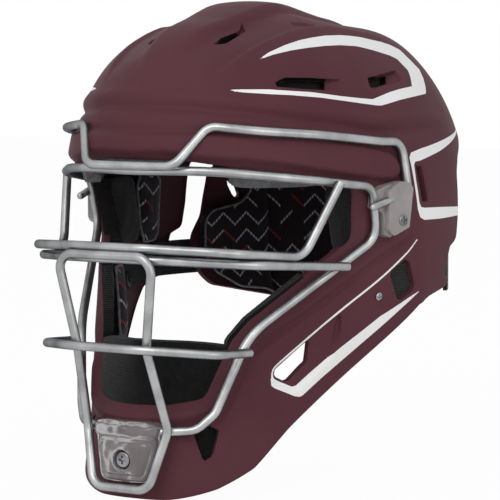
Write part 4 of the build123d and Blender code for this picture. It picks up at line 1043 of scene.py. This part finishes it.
def chinSurface(x, z, base, depth):
    flat = np.stack([x.ravel(), np.zeros(x.size), z.ravel()], -1)
    ahead = np.broadcast_to((0.0, -1.0, 0.0), flat.shape)
    front = reachWall(flat, ahead, 0.0, 190)
    q = np.stack([x.ravel(), z.ravel()], -1)
    lift = np.asarray(depth + 0 * x).ravel()
    share = np.clip(lift / chinClip["thick"], 0, 1)
    panel = insideOutline(q, roundedOutline(chinClip["panel"], 4))
    off = np.linalg.norm(q - chinClip["screwAt"], axis=1)
    radius, tall = chinClip["collar"]
    deep, width = chinClip["groove"]
    lift = lift + share * (tall * (1 - ramp(off, radius, radius + 1)) - deep * np.exp(-(panel / width) ** 2))
    bore = 1 - ramp(off, chinClip["bore"][0], chinClip["bore"][0] + 0.7)
    lift = lift * (1 - bore) + np.minimum(lift, chinClip["bore"][1]) * bore
    lift = lift + share * chinClip["rollRise"] * np.exp(-((q[:, 1] - chinClip["rollAt"]) / chinClip["rollHalf"]) ** 4)
    front[:, 1] -= lift - base
    return front.reshape(*x.shape, 3)


chinClip["surface"] = chinSurface
clipPlate = padForm("chinClipPlate", chinClip, 1, (chinClear, chinClear, chinClear))
clipPlate.data.set_sharp_from_angle(angle=math.radians(60))
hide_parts("chin_clip")
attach(clipPlate, "shell")

# black foam along the inside of the jaw's upper edge
jawFoam = {"reach": (-1.6, 7.0), "turns": (33, 51.5), "inset": 3.7, "thick": 6.0}


def jawFoamLevel(p):
    turn = np.degrees(np.arctan2(np.abs(p[:, 0]), body["middleY"] - p[:, 1]))
    lip = openingLevel(p)
    band = np.minimum(lip - jawFoam["reach"][0], jawFoam["reach"][1] - lip)
    low, high = wallTurn(p)
    return np.minimum(band, np.minimum(low, high))


def wallTurn(p):
    first, last = (wallAt(np.array([t]), np.array([-25.0]), 3.7)[0] for t in jawFoam["turns"])
    return first[1] * 0 + (p[:, 0] - first[0]), last[0] - p[:, 0]


jawEdging = sheetBehind("jawEdging", jawFoamLevel, jawFoam["inset"], jawFoam["thick"], 7, blackFabric)
print("chin clip and jaw foam ready")

# small hardware: closed forms from rings of points, turned screws and stubs, bevelled plates
def closedForm(name, layers, material, sharp=35):
    count = len(layers[0])
    ring = np.arange(count)
    faces = [list(ring), list(ring + count * (len(layers) - 1))]
    for low in range(len(layers) - 1):
        a, b = ring + low * count, ring + (low + 1) * count
        faces += np.stack([a, np.roll(a, -1), np.roll(b, -1), b], -1).tolist()
    piece = meshPiece(name, np.vstack(layers), faces, [material])
    shape = bmesh.new()
    shape.from_mesh(piece.data)
    bmesh.ops.recalc_face_normals(shape, faces=shape.faces)
    shape.to_mesh(piece.data)
    shape.free()
    piece.data.set_sharp_from_angle(angle=math.radians(sharp))
    return piece


def turnedLayers(start, axis, rings, recess=None, segments=48):
    start, axis = np.array(start, float), np.array(axis, float)
    axis /= np.linalg.norm(axis)
    first = np.cross(axis, (0, 0, 1))
    first /= np.linalg.norm(first)
    second = np.cross(first, axis)
    turn = np.linspace(0, 2 * math.pi, segments, endpoint=False)
    layers = []
    for radius, height in rings:
        x, y = radius * np.cos(turn), radius * np.sin(turn)
        lift = np.full(segments, float(height))
        if recess and height > 0:
            reach, half, deep = recess
            near, far = np.minimum(abs(x), abs(y)), np.maximum(abs(x), abs(y))
            lift -= deep * (1 - ramp(near, half, half + 0.2)) * (1 - ramp(far, reach, reach + 0.3))
        layers.append(start + axis * lift[:, None] + first * x[:, None] + second * y[:, None])
    return layers


def screwRings(radius, tall, shank):
    steps = np.linspace(0.03, 1, 16)
    dome = [(radius * s, 0.25 * tall + 0.75 * tall * math.sqrt(1 - (0.96 * s) ** 2)) for s in steps]
    return dome + [(radius, -0.2), (radius * 0.45, -0.3), (radius * 0.45, -shank), (0.05, -shank - 0.4)]


# side clips: a clear base on the shell, a thicker cover over the stub's end and a recessed screw
sideClip = {"tilt": 12, "base": ((-20, 39.3), (-12.4, 41.8), (-0.5, 44), (5.4, 43.6), (8.4, 40.5), (5.2, 17.6), (-8.2, 13), (-12.3, 14.6),
                                 (-14, 26.5), (-19.9, 30)),
            "cover": ((-13, 39.4), (-4.4, 43.8), (4.6, 43.2), (7.6, 40), (4.4, 18.2), (-8, 14), (-10.6, 15.4), (-12.7, 17.2)),
            "baseLevels": (96.5, 103.6), "coverLevels": (103.2, 107.2), "corner": 1.8, "bevel": 0.9,
            "screwAt": (107.0, -1.6, 22.6), "screw": (3.3, 1.1, 5.0), "cross": (2.2, 0.34, 0.8),
            "stub": ((98.2, -47.6, 30.6), (2.4, 13.0, 2.9)),
            "stubRings": ((0.2, -1.2), (1.3, -0.9), (1.9, -0.2), (2.1, 0.6), (2.1, 16.5), (1.9, 17.2), (0.2, 17.5))}


def clipPoint(d, u, v, side):
    a = math.radians(sideClip["tilt"])
    return np.stack(np.broadcast_arrays(side * (d * math.cos(a) + u * math.sin(a)), u * math.cos(a) - d * math.sin(a), v), -1)


def plateLayers(outline, levels, side):
    ring = roundedOutline(outline, sideClip["corner"])
    middle = ring.mean(0)
    inwards = (middle - ring) / np.linalg.norm(middle - ring, axis=1, keepdims=True)
    low, high = levels
    bevel = sideClip["bevel"]
    steps = ((low, 0), (high - bevel, 0), (high - 0.35 * bevel, 0.3 * bevel), (high, bevel))
    return [clipPoint(d, *(ring + inwards * inset).T, side) for d, inset in steps]


def hardware(name, layers, material, nodes, sharp=35):
    piece = closedForm(name, layers, material, sharp)
    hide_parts(*nodes)
    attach(piece, "shell")


strapScrew = {"at": (90.4, -25.9, -20.3), "axis": (0.9339, -0.3348, -0.1252), "size": (2.2, 0.9, 4.0), "cross": (1.4, 0.26, 0.6)}
for side, word in ((1, "left"), (-1, "right")):
    mirror = np.array((side, 1, 1))
    hardware(word + "ClipBase", plateLayers(sideClip["base"], sideClip["baseLevels"], side), clipClear, [word + "_side_clip"])
    hardware(word + "ClipCover", plateLayers(sideClip["cover"], sideClip["coverLevels"], side), clipClear, [word + "_clip_cover"])
    outwards = clipPoint(1.0, 0.0, 0.0, side)
    hardware(word + "ClipScrew", turnedLayers(clipPoint(*sideClip["screwAt"], side), outwards, screwRings(*sideClip["screw"]), sideClip["cross"]),
             screwSteel, ["side_clip_screws"])
    start, along = (np.array(v) * mirror for v in sideClip["stub"])
    hardware(word + "CageStub", turnedLayers(start, along, sideClip["stubRings"]), wireSilver, ["cage_stub_wires"])
    hardware(word + "StrapScrew", turnedLayers(np.array(strapScrew["at"]) * mirror, np.array(strapScrew["axis"]) * mirror,
                                               screwRings(*strapScrew["size"]), strapScrew["cross"]), screwSteel, ["strap_screws"])
print("side clips and screws ready")

# studio: pale floor, white behind, soft lamps
studio = {"floor": (246, 246, 246), "floorGlow": 0.96, "floorLevel": -127.0, "worldLight": 0.62,
          "lamps": (("keyLamp", (0.5, -2.1, 1.5), 1.4, 20.0), ("fillLamp", (1.9, -0.8, 0.5), 1.3, 7.0), ("frontLamp", (-0.8, -1.9, 0.4), 1.2, 1.6))}


def seenRays(tree):
    path = addNode(tree, "ShaderNodeLightPath")
    most = path.outputs["Is Camera Ray"]
    for kind in ("Is Glossy Ray", "Is Transmission Ray"):
        most = solve(tree, "MAXIMUM", most, path.outputs[kind])
    return most


def floorMaterial():
    material, tree, shader = newMaterial("paleFloor", studio["floor"], 0.9, specular=0.1)
    roughnessDrift(tree, shader, objectNoise(tree, 3, 3), 0.85, 0.95)
    glow, mix = addNode(tree, "ShaderNodeEmission"), addNode(tree, "ShaderNodeMixShader")
    glow.inputs["Color"].default_value, glow.inputs["Strength"].default_value = (1, 1, 1, 1), 1.0
    tree.links.new(solve(tree, "MULTIPLY", seenRays(tree), studio["floorGlow"]), mix.inputs["Fac"])
    tree.links.new(shader.outputs[0], mix.inputs[1])
    tree.links.new(glow.outputs[0], mix.inputs[2])
    tree.links.new(mix.outputs[0], tree.nodes["Material Output"].inputs["Surface"])
    return material


def makeStudio():
    world = bpy.data.worlds.new("studio")
    bpy.context.scene.world = world
    world.use_nodes = True
    tree = world.node_tree
    tree.nodes.clear()
    out, mix = addNode(tree, "ShaderNodeOutputWorld"), addNode(tree, "ShaderNodeMixShader")
    for place, strength in ((1, studio["worldLight"]), (2, 1.0)):
        light = addNode(tree, "ShaderNodeBackground")
        light.inputs["Color"].default_value, light.inputs["Strength"].default_value = (1, 1, 1, 1), strength
        tree.links.new(light.outputs[0], mix.inputs[place])
    tree.links.new(seenRays(tree), mix.inputs["Fac"])
    tree.links.new(mix.outputs[0], out.inputs["Surface"])
    wide, level = 4000, studio["floorLevel"]
    floor = meshPiece("studioFloor", [(-wide, -wide, level), (wide, -wide, level), (wide, wide, level), (-wide, wide, level)],
                      [(0, 1, 2, 3)], [floorMaterial()], smooth=False)
    for name, place, size, power in studio["lamps"]:
        lamp = bpy.data.objects.new(name, bpy.data.lights.new(name, "AREA"))
        lamp.data.energy, lamp.data.size = power, size
        lamp.location = place
        lamp.rotation_euler = (-Vector(place)).to_track_quat("-Z", "Y").to_euler()
        bpy.context.scene.collection.objects.link(lamp)


makeStudio()
bpy.context.scene.view_settings.view_transform = "Standard"
print("studio ready")
